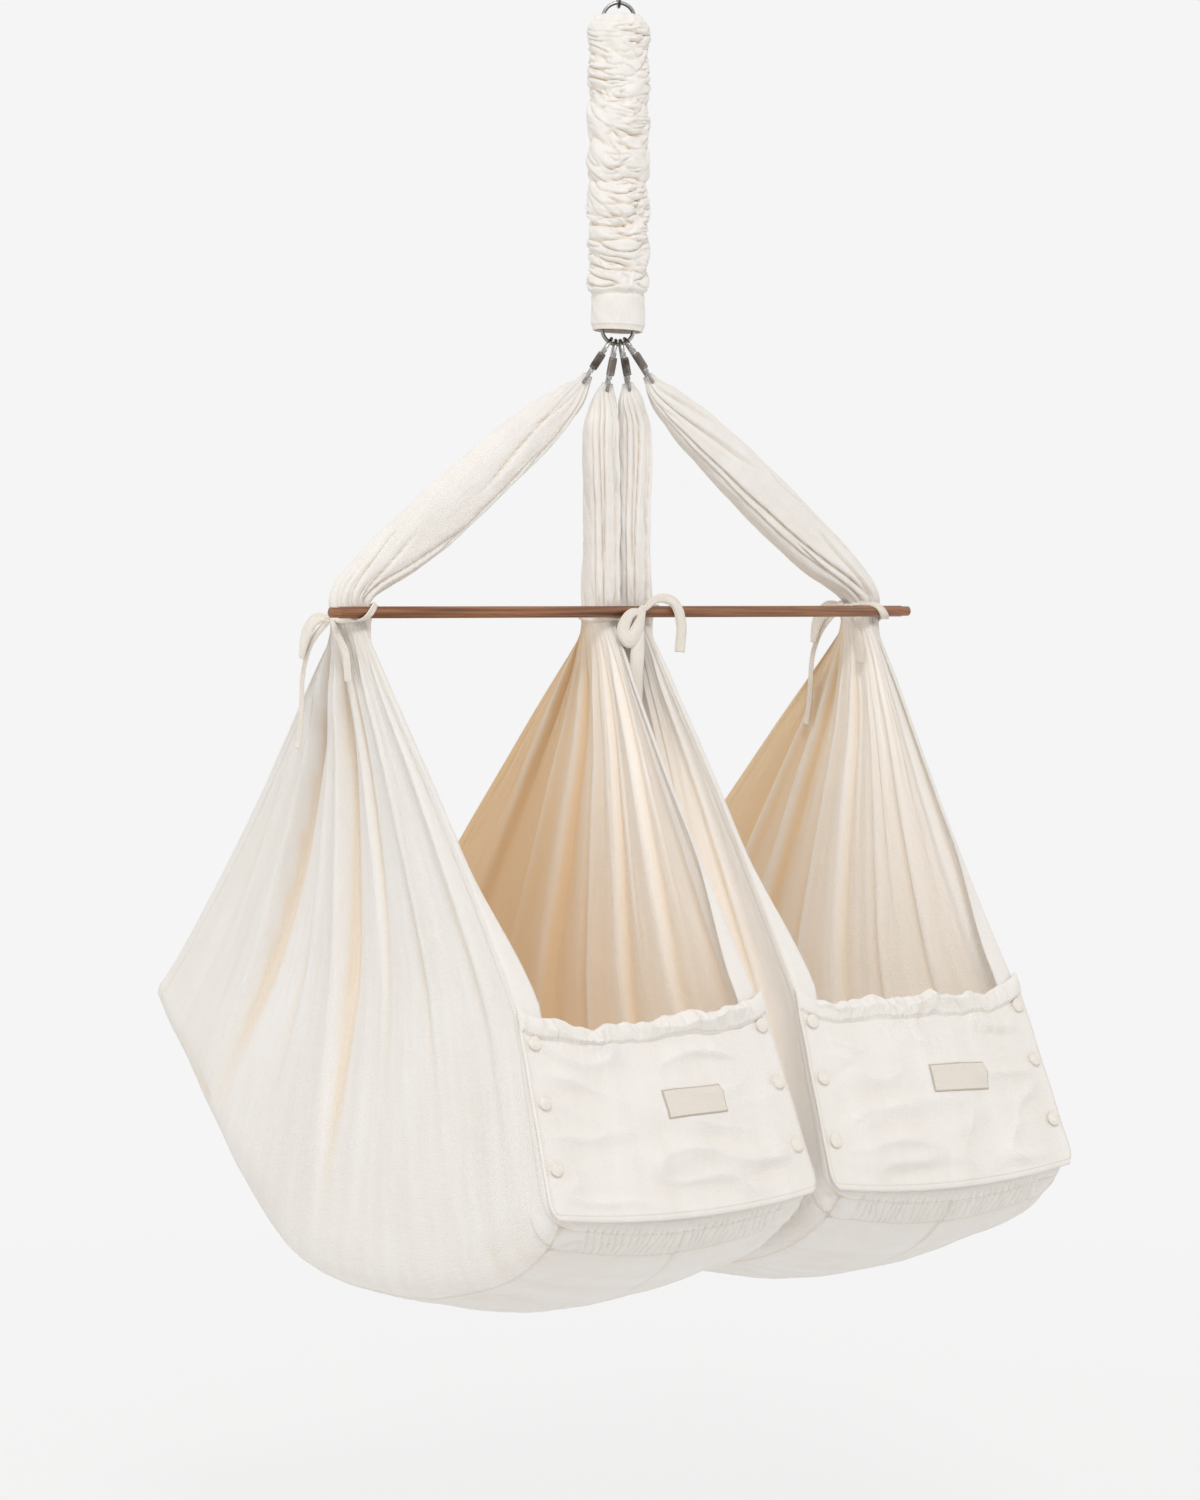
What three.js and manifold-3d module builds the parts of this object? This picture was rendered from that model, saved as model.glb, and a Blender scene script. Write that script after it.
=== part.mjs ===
// A twin hanging baby cradle. Two cotton slings hang side by side on one wooden spreader bar,
// and their gathered straps meet at four screw-lock carabiners on the lower loop of a coil
// spring in a gathered sleeve. Millimetres, +Z up, the front at -Y, the bar along X.
// The origin is the bearing point inside the top carabiner, where a ceiling hook carries it.
import * as THREE from "three";
import { mergeVertices } from "three/addons/utils/BufferGeometryUtils.js";
import Module from "manifold-3d";

const wasm = await Module();
wasm.setup();

// Fits
const seatGap = 0.3;
const runningGap = 0.4;
const cutOverrun = 1;

// Carabiners, one above the spring and four below it
const carabinerLength = 64;
const carabinerWidth = 30;
const carabinerWire = 4;
const gateDiameter = 5.2;
const gateTongue = 2;
const gateSlotGap = 0.35;
const hingePinDiameter = 1.6;
const noseTongueLength = 4.6;
const lockSleeveDiameter = 9;
const lockSleeveLength = 20;
const lockSleeveChamfer = 0.8;
const hangerTurn = 30;
const outerLean = 33;
const innerLean = 10.5;

// Coil spring with a loop at each end, and the gathered sleeve over it
const springLoopDiameter = 36;
const springWire = 4.5;
const springCurls = 26;
const loopLead = 7;
const sleeveLength = 355;
const sleeveOverLoop = 3;
const sleeveRadius = 35;
const sleeveRuffle = 6;
const sleeveHemRadius = 30.5;
const sleeveHemLength = 42;
const sleeveCloth = 2.5;
const sleeveRuffleLength = 15;

// Spreader bar
const barDrop = 741;
const barLength = 800;
const barDiameter = 13;
const barTipDiameter = 11.4;
const barTipLength = 11;
const barChamfer = 1;

// Gathered cloth where it passes the bar
const gatherInset = 46;
const bundleX = 44;
const bundleY = 48;
const gatherStraight = 12;

// Sling, with places measured from the bar's axis: out along Y, and down
const clothThickness = 3;
const rearCornerY = 478;
const rearCornerDrop = 470;
const lowestY = 10;
const lowestDrop = 747;
const frontBottomY = -386;
const frontBottomDrop = 614;
const frontTopY = -298;
const frontTopDrop = 406;
const slingTaper = 29;
const slingBottomWidth = 341;
const cradleGap = 21;
const slingCornerRadius = 45;
const bellySag = 24;
const hemSag = 12;
const foldDepth = 9;
const frontFlange = 26;
const hemFlange = 4;
const lipFlange = 14;

// Gathered straps above the bar
const strapWidth = 64;
const strapThickness = 38;
const strapOverBow = 11;
const strapUnderBow = 7;
const strapEndWidth = 17;
const strapEndThickness = 13;
const innerStrapWidth = 42;

// Front panels, their blank labels and press studs
const panelThickness = 3;
const panelBulge = 8;
const panelTopDroop = 18;
const casingHeight = 24;
const casingThickness = 8;
const labelWidth = 84;
const labelHeight = 33;
const labelThickness = 1.2;
const studDiameter = 15;
const studHeight = 3.6;
const studInset = 14;

// Mattresses
const mattressMargin = 61;
const mattressThickness = 34;
const mattressCrown = 5;
const mattressRearShare = 0.2;
const mattressFrontShare = 0.9;

// Cotton ties that lash the cloth to the bar
const tieWidth = 8;
const tieThickness = 1.5;
const tieSlack = 1.3;
const knotSize = 11;

// Counts
const wireSides = 8;
const curlSteps = 8;
const curlSides = 5;
const sleeveSides = 12;
const slingColumns = 20;
const slingFolds = 5;
const strapSides = 10;
const mattressSteps = 14;

// Values worked out from the sizes above
const barRadius = barDiameter / 2;
const gatherX = barLength / 2 - gatherInset;
const slingTopWidth = slingBottomWidth - slingTaper;
const cradleSpacing = slingBottomWidth + cradleGap;
const mattressWidth = slingBottomWidth - mattressMargin;
const tieLift = seatGap + tieSlack + tieThickness / 2;
const barY = -(bundleY / 2 + tieLift + tieThickness / 2 + barRadius);
const innerGatherX = bundleX / 2 + seatGap;
const springLoopRadius = springLoopDiameter / 2;
const topBowInside = -(carabinerLength - 2 * carabinerWire);
const topLoopZ = topBowInside + seatGap + springWire / 2 - springLoopRadius;
const sleeveTopZ = topLoopZ + sleeveOverLoop;
const sleeveBottomZ = sleeveTopZ - sleeveLength;
const bottomLoopZ = sleeveBottomZ + sleeveOverLoop;
const lowerBowRadius = springLoopRadius - springWire / 2 - seatGap - carabinerWire / 2;
const bowRadius = (carabinerWidth - carabinerWire) / 2;
const carabinerReach = carabinerLength - carabinerWire;
const turned = THREE.MathUtils.degToRad(90 - hangerTurn);

// Colours of the materials
const cottonColour = 0xece3d6;
const labelColour = 0xd9cfc1;
const studColour = 0xe9e0d3;
const mattressColour = 0xf2ede4;
const steelColour = 0x8f8d8b;
const walnutColour = 0x6b3a24;

const { lerp, smoothstep } = THREE.MathUtils;
const at = (x, y, z) => new THREE.Vector3(x, y, z);
const share = (index, count) => index / count;
const steps = (count) => Array.from({ length: count + 1 }, (_, index) => share(index, count));

// A closed body from its points and triangles, turned so that its faces point out
function closedBody(points, triangles) {
  let volume = 0;
  for (const [a, b, c] of triangles) {
    volume += points[a].dot(points[b].clone().cross(points[c]));
  }
  const faces = volume < 0 ? triangles.map(([a, b, c]) => [a, c, b]) : triangles;
  const geometry = new THREE.BufferGeometry().setFromPoints(points);
  geometry.setIndex(faces.flat());
  geometry.computeVertexNormals();
  return geometry;
}

// A skin over rings of points, closed by end faces, or joined end to end when it is a hoop
function loft(rings, hoop = false) {
  const sides = rings[0].length;
  const points = rings.flat();
  const triangles = [];
  const bands = hoop ? rings.length : rings.length - 1;
  for (let i = 0; i < bands; i++) {
    const next = (i + 1) % rings.length;
    for (let j = 0; j < sides; j++) {
      const side = (j + 1) % sides;
      triangles.push([i * sides + j, i * sides + side, next * sides + j]);
      triangles.push([i * sides + side, next * sides + side, next * sides + j]);
    }
  }
  if (hoop) {
    return closedBody(points, triangles);
  }
  const last = (rings.length - 1) * sides;
  for (let j = 1; j < sides - 1; j++) {
    triangles.push([0, j + 1, j]);
    triangles.push([last, last + j, last + j + 1]);
  }
  return closedBody(points, triangles);
}

// A tube with a bore: the outer rings down, then the bore's rings back up
function loftWithBore(outerRings, boreRings) {
  return loft([...outerRings, ...boreRings.slice().reverse()], true);
}

// A piece of cloth between two matching grids of points
function clothBody(front, back) {
  const rows = front.length;
  const columns = front[0].length;
  const points = [...front.flat(), ...back.flat()];
  const other = rows * columns;
  const triangles = [];
  const quad = (a, b, c, d) => {
    triangles.push([a, b, c]);
    triangles.push([a, c, d]);
  };
  const place = (i, j) => i * columns + j;
  for (let i = 1; i < rows; i++) {
    for (let j = 1; j < columns; j++) {
      const corners = [place(i - 1, j - 1), place(i - 1, j), place(i, j), place(i, j - 1)];
      quad(...corners);
      quad(...corners.map((corner) => corner + other).reverse());
    }
  }
  const rim = [];
  for (let j = 0; j < columns - 1; j++) {
    rim.push(place(0, j));
  }
  for (let i = 0; i < rows - 1; i++) {
    rim.push(place(i, columns - 1));
  }
  for (let j = columns - 1; j > 0; j--) {
    rim.push(place(rows - 1, j));
  }
  for (let i = rows - 1; i > 0; i--) {
    rim.push(place(i, 0));
  }
  rim.forEach((corner, index) => {
    const next = rim[(index + 1) % rim.length];
    const corners = [next, corner, corner + other, next + other];
    quad(...(next > corner ? corners : [...corners.slice(1), next]));
  });
  return closedBody(points, triangles);
}

// The direction square to a grid of points at each of its corners
function gridNormals(grid) {
  const rows = grid.length;
  const columns = grid[0].length;
  return grid.map((row, i) =>
    row.map((_, j) => {
      const along = grid[Math.min(i + 1, rows - 1)][j].clone().sub(grid[Math.max(i - 1, 0)][j]);
      const across = row[Math.min(j + 1, columns - 1)].clone().sub(row[Math.max(j - 1, 0)]);
      return along.cross(across).normalize();
    }),
  );
}

// Round rings along a path, carried on without twist
function tubeRings(path, radius, sides, startNormal) {
  const normal = startNormal.clone();
  return path.map((point, index) => {
    const before = path[Math.max(index - 1, 0)];
    const after = path[Math.min(index + 1, path.length - 1)];
    const tangent = after.clone().sub(before).normalize();
    normal.addScaledVector(tangent, -normal.dot(tangent)).normalize();
    const side = tangent.clone().cross(normal);
    return Array.from({ length: sides }, (_, k) => {
      const angle = 2 * Math.PI * share(k + 1 / 2, sides);
      return point
        .clone()
        .addScaledVector(normal, radius * Math.cos(angle))
        .addScaledVector(side, radius * Math.sin(angle));
    });
  });
}

// A flat ribbon along a path, its faces square to the outward direction at each place
function ribbonRings(path, outwards, widths, thickness, hoop = false) {
  const count = path.length;
  return path.map((point, index) => {
    const before = hoop ? path[(index + count - 1) % count] : path[Math.max(index - 1, 0)];
    const after = hoop ? path[(index + 1) % count] : path[Math.min(index + 1, count - 1)];
    const tangent = after.clone().sub(before).normalize();
    const out = outwards[index].clone();
    out.addScaledVector(tangent, -out.dot(tangent)).normalize();
    const across = tangent.clone().cross(out).multiplyScalar(widths[index] / 2);
    const lift = out.multiplyScalar(thickness / 2);
    return [
      point.clone().add(across).add(lift),
      point.clone().sub(across).add(lift),
      point.clone().sub(across).sub(lift),
      point.clone().add(across).sub(lift),
    ];
  });
}

// Solids for cutting and joining
function solidOf(geometry, matrix = new THREE.Matrix4()) {
  const bare = geometry.clone();
  bare.deleteAttribute("normal");
  bare.deleteAttribute("uv");
  bare.applyMatrix4(matrix);
  const merged = mergeVertices(bare);
  return new wasm.Manifold(
    new wasm.Mesh({
      numProp: 3,
      vertProperties: new Float32Array(merged.attributes.position.array),
      triVerts: new Uint32Array(merged.index.array),
    }),
  );
}

function geometryOf(solid) {
  const mesh = solid.getMesh();
  const geometry = new THREE.BufferGeometry();
  geometry.setAttribute("position", new THREE.Float32BufferAttribute(mesh.vertProperties, 3));
  geometry.setIndex(Array.from(mesh.triVerts));
  const flat = geometry.toNonIndexed();
  flat.computeVertexNormals();
  return flat;
}

function cut(body, ...tools) {
  return geometryOf(tools.reduce((left, tool) => left.subtract(solidOf(tool)), solidOf(body)));
}

function join(...bodies) {
  return geometryOf(bodies.map((body) => solidOf(body)).reduce((left, body) => left.add(body)));
}

const box = (x, y, z, place) => new THREE.BoxGeometry(x, y, z).translate(...place.toArray());

// A round bar along Y, such as a pin
function crossPin(radius, length, place) {
  return new THREE.CylinderGeometry(radius, radius, length, wireSides).translate(...place.toArray());
}

// Materials
const material = (color, roughness, metalness = 0) =>
  new THREE.MeshStandardMaterial({ color, roughness, metalness });
const cotton = () => material(cottonColour, 0.95);
const steel = () => material(steelColour, 0.35, 1);

function named(name, geometry, finish, parent) {
  const mesh = new THREE.Mesh(geometry, finish);
  mesh.name = name;
  parent.add(mesh);
  return mesh;
}

// Places along a carabiner, in its own frame: X across it with the gate at -X, Z down its
// length, and the zero on the wire's centre at the top of the upper bow
const lowerBowZ = bowRadius - carabinerReach;
const gateEndZ = lowerBowZ + cutOverrun;
const pivotReach = gateDiameter / 2;
const shoulderReach = Math.hypot(pivotReach, gateDiameter / 2) + seatGap;
const pivotZ = -bowRadius - shoulderReach;
const pivot = at(-bowRadius, 0, pivotZ);
const tongueReach = pivotReach;
const slotFloor = Math.hypot(tongueReach, carabinerWire / 2) + runningGap;
const lockTopZ = pivotZ - slotFloor - seatGap;

// The bent wire's centre line, from the nose round both bows to the hinge end
function carabinerPath() {
  const bowSteps = steps(wireSides);
  const lower = bowSteps.map((part) => {
    const angle = Math.PI * (1 + part);
    return at(bowRadius * Math.cos(angle), 0, lowerBowZ + bowRadius * Math.sin(angle));
  });
  const upper = bowSteps.map((part) => {
    const angle = Math.PI * part;
    return at(bowRadius * Math.cos(angle), 0, -bowRadius + bowRadius * Math.sin(angle));
  });
  const nose = at(-bowRadius, 0, gateEndZ - runningGap);
  return [nose, ...lower, ...upper];
}

function carabinerWireBody(radius) {
  return loft(tubeRings(carabinerPath(), radius, wireSides, at(0, 1, 0)));
}

// The bent body: the wire, a flat hinge tongue with its hole, and a flat nose tongue
function carabinerBody() {
  const hingeTongue = box(
    carabinerWire,
    gateTongue,
    shoulderReach + tongueReach + cutOverrun,
    at(-bowRadius, 0, pivotZ - tongueReach + (shoulderReach + tongueReach + cutOverrun) / 2),
  );
  const noseTongue = box(
    carabinerWire,
    gateTongue,
    noseTongueLength + cutOverrun,
    at(-bowRadius, 0, gateEndZ - cutOverrun + noseTongueLength / 2),
  );
  const hole = crossPin(hingePinDiameter / 2 + seatGap, carabinerWire, pivot);
  const whole = join(carabinerWireBody(carabinerWire / 2), hingeTongue, noseTongue);
  return cut(whole, hole);
}

// The gate: a round rod forked at both ends, over the hinge tongue and over the nose
function carabinerGate() {
  const length = pivotZ + pivotReach - gateEndZ;
  const middle = gateEndZ + length / 2;
  const rod = new THREE.CylinderGeometry(gateDiameter / 2, gateDiameter / 2, length, wireSides + 2);
  rod.rotateX(Math.PI / 2).translate(-bowRadius, 0, middle);
  const slot = gateTongue + 2 * gateSlotGap;
  const hingeSlotDepth = pivotReach + slotFloor + cutOverrun;
  const noseSlotDepth = noseTongueLength + cutOverrun + runningGap;
  const hingeSlot = box(
    gateDiameter + cutOverrun,
    slot,
    hingeSlotDepth,
    at(-bowRadius, 0, pivotZ - slotFloor + hingeSlotDepth / 2),
  );
  const noseSlot = box(
    gateDiameter + cutOverrun,
    slot,
    noseSlotDepth,
    at(-bowRadius, 0, gateEndZ - cutOverrun + noseSlotDepth / 2),
  );
  const hole = crossPin(hingePinDiameter / 2 + seatGap, gateDiameter + cutOverrun, pivot);
  return cut(rod, hingeSlot, noseSlot, hole);
}

// The threaded lock sleeve that slides along the gate and over the nose
function lockSleeve() {
  const bore = gateDiameter / 2 + seatGap + gateSlotGap;
  const outer = lockSleeveDiameter / 2;
  const profile = [
    [bore, 0],
    [outer - lockSleeveChamfer, 0],
    [outer, lockSleeveChamfer],
    [outer, lockSleeveLength - lockSleeveChamfer],
    [outer - lockSleeveChamfer, lockSleeveLength],
    [bore, lockSleeveLength],
    [bore, 0],
  ].map(([radius, height]) => new THREE.Vector2(radius, height));
  const sleeve = new THREE.LatheGeometry(profile, wireSides + 4);
  return sleeve.rotateX(Math.PI / 2).translate(-bowRadius, 0, lockTopZ - lockSleeveLength);
}

function addCarabiner(name, parent) {
  const pinLength = gateDiameter + seatGap;
  named(`${name}_body`, carabinerBody(), steel(), parent);
  named(`${name}_gate`, carabinerGate(), steel(), parent);
  named(`${name}_hinge_pin`, crossPin(hingePinDiameter / 2, pinLength, pivot), steel(), parent);
  named(`${name}_lock_sleeve`, lockSleeve(), steel(), parent);
}

// Where a lower carabiner hangs on the spring's loop, leaning by an angle in degrees
function lowerCarabinerMatrix(lean) {
  return new THREE.Matrix4()
    .makeRotationZ(turned)
    .multiply(new THREE.Matrix4().makeTranslation(0, 0, bottomLoopZ))
    .multiply(new THREE.Matrix4().makeRotationX(THREE.MathUtils.degToRad(lean)))
    .multiply(new THREE.Matrix4().makeTranslation(0, 0, -lowerBowRadius));
}

const lowerCarabiners = [
  { name: "left_outer_carabiner", lean: outerLean },
  { name: "left_inner_carabiner", lean: innerLean },
  { name: "right_inner_carabiner", lean: -innerLean },
  { name: "right_outer_carabiner", lean: -outerLean },
];

// The spring's centre line in the turned frame. Its loops stand in the YZ plane: each is an
// open hook that ends on the axis, from where a half turn spirals out to the coil.
function springPath() {
  const middleZ = (topLoopZ + bottomLoopZ) / 2;
  const hookStart = THREE.MathUtils.degToRad(-125);
  const hookSteps = 14;
  const leadSteps = curlSteps / 2;
  const hook = steps(hookSteps).map((part) => {
    const angle = lerp(hookStart, Math.PI, part);
    return at(0, springLoopRadius * Math.sin(angle), topLoopZ + springLoopRadius * Math.cos(angle));
  });
  const leadStartZ = topLoopZ - springLoopRadius;
  const lead = steps(leadSteps).slice(1, -1).map((part) => {
    const radius = springLoopRadius * Math.sin((Math.PI / 2) * part);
    const angle = lerp(-Math.PI / 2, Math.PI / 2, part ** 2);
    return at(radius * Math.cos(angle), radius * Math.sin(angle), leadStartZ - loopLead * part);
  });
  const turns = springCurls + 1 / 2;
  const coilTopZ = leadStartZ - loopLead;
  const coilSteps = turns * curlSteps;
  const coil = steps(coilSteps).map((part) => {
    const angle = Math.PI / 2 + 2 * Math.PI * turns * part;
    return at(
      springLoopRadius * Math.cos(angle),
      springLoopRadius * Math.sin(angle),
      lerp(coilTopZ, 2 * middleZ - coilTopZ, part),
    );
  });
  const turnedOver = (point) => at(point.x, -point.y, 2 * middleZ - point.z);
  const end = [...hook, ...lead];
  return [...end, ...coil, ...end.map(turnedOver).reverse()];
}

// The least free distance between stretches of the wire that lie more than a half curl apart
function leastSelfGap(path) {
  let least = Infinity;
  for (let i = 0; i < path.length; i++) {
    for (let j = i + curlSteps / 2; j < path.length; j++) {
      least = Math.min(least, path[i].distanceTo(path[j]) - springWire);
    }
  }
  return least;
}

function spring() {
  const path = springPath();
  console.log(`spring: least gap to itself ${leastSelfGap(path).toFixed(2)} mm`);
  return loft(tubeRings(path, springWire / 2, curlSides, at(1, 0, 0)));
}

// The sleeve: cloth scrunched into uneven ruffles, with a smooth hem below and a soft rim above
function springSleeve() {
  const facet = Math.cos(Math.PI / sleeveSides);
  const grip = (springLoopRadius + springWire / 2 + seatGap) / facet;
  const ring = (radiusAt, z) =>
    Array.from({ length: sleeveSides }, (_, k) => {
      const angle = 2 * Math.PI * share(k, sleeveSides);
      const radius = radiusAt(angle);
      return at(radius * Math.cos(angle), radius * Math.sin(angle), z);
    });
  const ruffled = sleeveLength - sleeveHemLength;
  const count = Math.round(ruffled / sleeveRuffleLength);
  const outer = [ring(() => grip + sleeveCloth, sleeveTopZ)];
  for (let i = 1; i < count; i++) {
    const swell = sleeveRadius + sleeveRuffle * (i % 2 ? 1 / 2 : -1 / 2);
    const lobes = (angle) => swell + (sleeveRuffle / 3) * Math.sin(2 * angle + 2 * i);
    outer.push(ring(lobes, sleeveTopZ - ruffled * share(i, count)));
  }
  for (const part of [0, 0.5, 0.92]) {
    outer.push(ring(() => sleeveHemRadius, sleeveTopZ - ruffled - sleeveHemLength * part));
  }
  outer.push(ring(() => grip + sleeveCloth, sleeveBottomZ));
  const boreShares = [0, 0.04, 0.2, 0.5, 0.8, 0.96, 1];
  const loose = sleeveRadius - sleeveRuffle - sleeveCloth;
  const bore = boreShares.map((part) => {
    const gripped = part < 0.1 || part > 0.9;
    return ring(() => (gripped ? grip : loose), sleeveTopZ - sleeveLength * part);
  });
  return loftWithBore(outer, bore);
}

// The wooden bar: a dowel with turned-down, chamfered tips
function spreaderBar() {
  const half = barLength / 2;
  const tip = barTipDiameter / 2;
  const side = [
    [0, half],
    [tip - barChamfer, half],
    [tip, half - barChamfer],
    [tip, half - barTipLength],
    [barRadius, half - barTipLength - barChamfer],
  ];
  const other = side.map(([radius, x]) => [radius, -x]);
  const profile = [...other, ...side.reverse()].map(([radius, x]) => new THREE.Vector2(radius, x));
  const bar = new THREE.LatheGeometry(profile, 2 * wireSides);
  return bar.rotateZ(-Math.PI / 2).translate(0, barY, -barDrop);
}

// One cradle in its own frame: X from its middle plane with the outer wall at +X, Y from the
// front, Z from the bar's axis. The places below are mirrored for the left cradle.

// The line along which a wall folds under into the bottom, from the rear corner to the front
const foldLine = (() => {
  const rear = new THREE.Vector2(rearCornerY, -rearCornerDrop);
  const low = new THREE.Vector2(lowestY, -lowestDrop);
  const front = new THREE.Vector2(frontBottomY, -frontBottomDrop);
  const rearShares = { reach: 0.55, rise: 0.83, flat: 0.4 };
  const frontShares = { flat: 0.55, reach: 0.08, rise: 0.55 };
  const rearReach = rear.x - low.x;
  const frontReach = low.x - front.x;
  const rearRise = rear.y - low.y;
  const frontRise = front.y - low.y;
  const curve = new THREE.CurvePath();
  curve.add(
    new THREE.CubicBezierCurve(
      rear,
      new THREE.Vector2(rear.x - rearReach * rearShares.reach, rear.y - rearRise * rearShares.rise),
      new THREE.Vector2(low.x + rearReach * rearShares.flat, low.y),
      low,
    ),
  );
  curve.add(
    new THREE.CubicBezierCurve(
      low,
      new THREE.Vector2(low.x - frontReach * frontShares.flat, low.y),
      new THREE.Vector2(front.x + frontReach * frontShares.reach, front.y - frontRise * frontShares.rise),
      front,
    ),
  );
  return curve;
})();

// How far out the walls stand from the cradle's middle, by their drop below the bar
const outerGatherX = gatherX - cradleSpacing / 2;
const innerGatherReach = cradleSpacing / 2 - innerGatherX;
function wallReach(side, drop) {
  const gather = side > 0 ? outerGatherX : innerGatherReach;
  const top = slingTopWidth / 2;
  const bottom = slingBottomWidth / 2;
  if (drop < frontTopDrop) {
    return lerp(gather, top, smoothstep(drop, gatherStraight, frontTopDrop));
  }
  return lerp(top, bottom, Math.min((drop - frontTopDrop) / (frontBottomDrop - frontTopDrop), 1));
}

// A wall's place by its share of the way down and of the way from rear to front
const kneeShare = (frontTopDrop - gatherStraight) / (frontBottomDrop - gatherStraight);
function wallLine(part, down) {
  const fold = foldLine.getPoint(part);
  const start = new THREE.Vector2((bundleY / 2) * Math.cos(Math.PI * part), -gatherStraight);
  const kneeBack = lerp(start.x, frontBottomY, kneeShare) - frontTopY;
  const knee = start.clone().lerp(fold, kneeShare);
  knee.x -= kneeBack * smoothstep(part, 0.7, 1);
  if (down < kneeShare) {
    return start.lerp(knee, down / kneeShare);
  }
  return knee.lerp(fold, (down - kneeShare) / (1 - kneeShare));
}

// The folds that run down from the gather, deepest a third of the way down
function foldShift(part, down) {
  const depth = foldDepth * smoothstep(down, 0, 0.3) * (1 - smoothstep(down, 0.45, 1));
  return (depth * (1 - Math.cos(2 * Math.PI * slingFolds * part))) / 2;
}

// Half the cloth's thickness, which swells into a round bundle at the gather
function halfThickness(part, down) {
  const bundle = (bundleX / 2 - clothThickness / 2) * Math.sin(Math.PI * part);
  const pleat = 1 - 0.12 * (1 - Math.cos(2 * Math.PI * slingFolds * part)) * smoothstep(down, 0, 0.05);
  const left = Math.max(1 - down / 0.24, 0) ** 2;
  return clothThickness / 2 + bundle * pleat * left;
}

const sagAt = (part) => hemSag + (bellySag - hemSag) * Math.sin(Math.PI * part);
const wallShares = [0, 0.09, 0.2, 0.4, kneeShare];
const bottomShares = [1, 0.5, 0];
const seamColumn = wallShares.length + 2;

// The bottom's height over its fold line, by its distance from the middle
function bottomHeight(part, x) {
  const flat = slingBottomWidth / 2 - slingCornerRadius;
  const heights = bottomShares.map((from) => -sagAt(part) * (1 - from ** 2));
  const place = Math.min(Math.abs(x) / flat, 1) * 2;
  return place < 1 ? lerp(heights[2], heights[1], place) : lerp(heights[1], heights[0], place - 1);
}

// One line of the sling from a wall's gather down to the middle of the bottom
function halfSling(side, part) {
  const onWall = (down) => {
    const place = wallLine(part, down);
    const out = wallReach(side, -place.y) - foldShift(part, down);
    return at(side * out, place.x, place.y);
  };
  const fold = wallLine(part, 1);
  const corner = at(side * wallReach(side, -fold.y), fold.x, fold.y);
  const above = onWall(kneeShare);
  const cornerStart = corner.clone().add(above.sub(corner).setLength(slingCornerRadius));
  const flat = slingBottomWidth / 2 - slingCornerRadius;
  const cornerEnd = at(side * flat, fold.x, fold.y);
  const cornerMiddle = cornerStart.clone().add(cornerEnd).multiplyScalar(1 / 4).addScaledVector(corner, 1 / 2);
  const gather = at(side * (side > 0 ? outerGatherX : innerGatherReach), (bundleY / 2) * Math.cos(Math.PI * part), 0);
  const bottom = bottomShares.slice(1).map((from) => {
    const x = side * flat * from;
    return at(x, fold.x, fold.y + bottomHeight(part, x));
  });
  return {
    points: [gather, ...wallShares.map(onWall), cornerStart, cornerMiddle, cornerEnd, ...bottom],
    downs: [0, ...wallShares, ...Array(5).fill(1)],
  };
}

// The whole line of the sling, down one wall, across the bottom and up the other wall
function slingLine(part) {
  const outer = halfSling(1, part);
  const inner = halfSling(-1, part);
  return {
    points: [...outer.points, ...inner.points.slice(0, -1).reverse()],
    downs: [...outer.downs, ...inner.downs.slice(0, -1).reverse()],
  };
}

const panelUp = new THREE.Vector3(0, frontTopY - frontBottomY, frontBottomDrop - frontTopDrop).normalize();
const panelOut = at(0, -panelUp.z, panelUp.y);
const panelHeight = Math.hypot(frontTopY - frontBottomY, frontBottomDrop - frontTopDrop);

// The sling's front edge turned in behind the front panel, as a flange that the studs close on
function flangeLine(edge) {
  return edge.points.map((point, index) => {
    const down = edge.downs[index];
    const wall = down < 1;
    const inwards = at(-Math.sign(point.x), 0, 0);
    const cornerPart = smoothstep(Math.abs(point.x), slingBottomWidth / 2 - slingCornerRadius, slingBottomWidth / 2);
    const direction = wall ? inwards : inwards.multiplyScalar(cornerPart).addScaledVector(panelUp, 1 - cornerPart);
    const reach = wall
      ? lerp(hemFlange, frontFlange, smoothstep(down, 0.4, kneeShare))
      : lerp(lipFlange, frontFlange, cornerPart);
    const kept = Math.min(reach, wall ? lerp(clothThickness, reach, smoothstep(down, 0, 0.1)) : reach);
    return point.clone().addScaledVector(direction.normalize(), kept);
  });
}

// The sling's cloth, sewn from two walls and a floor along seams round the bottom corners
function slingPanels() {
  const parts = steps(slingColumns);
  const lines = parts.map(slingLine);
  const edge = lines[lines.length - 1];
  const middle = [...lines.map((line) => line.points), flangeLine(edge)];
  const normals = gridNormals(middle);
  const halves = [...parts, 1].map((part, index) => {
    const { downs } = lines[Math.min(index, lines.length - 1)];
    return downs.map((down) => halfThickness(part, down));
  });
  const seams = [seamColumn, middle[0].length - 1 - seamColumn];
  const piece = (sign, from, to) =>
    middle.map((line, i) =>
      line.slice(from, to + 1).map((point, k) => {
        const j = from + k;
        const moved = point.clone().addScaledVector(normals[i][j], sign * halves[i][j]);
        if (!seams.includes(j)) {
          return moved;
        }
        const along = line[j + 1].clone().sub(line[j - 1]);
        along.addScaledVector(normals[i][j], -along.dot(normals[i][j])).normalize();
        return moved.addScaledVector(along, ((j === from ? 1 : -1) * seatGap) / 2);
      }),
    );
  const panel = (from, to) => clothBody(piece(1, from, to), piece(-1, from, to));
  return {
    outer_wall: panel(0, seams[0]),
    floor: panel(seams[0], seams[1]),
    inner_wall: panel(seams[1], middle[0].length - 1),
  };
}

const studUps = [0.25, 0.57, 0.86];

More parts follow.
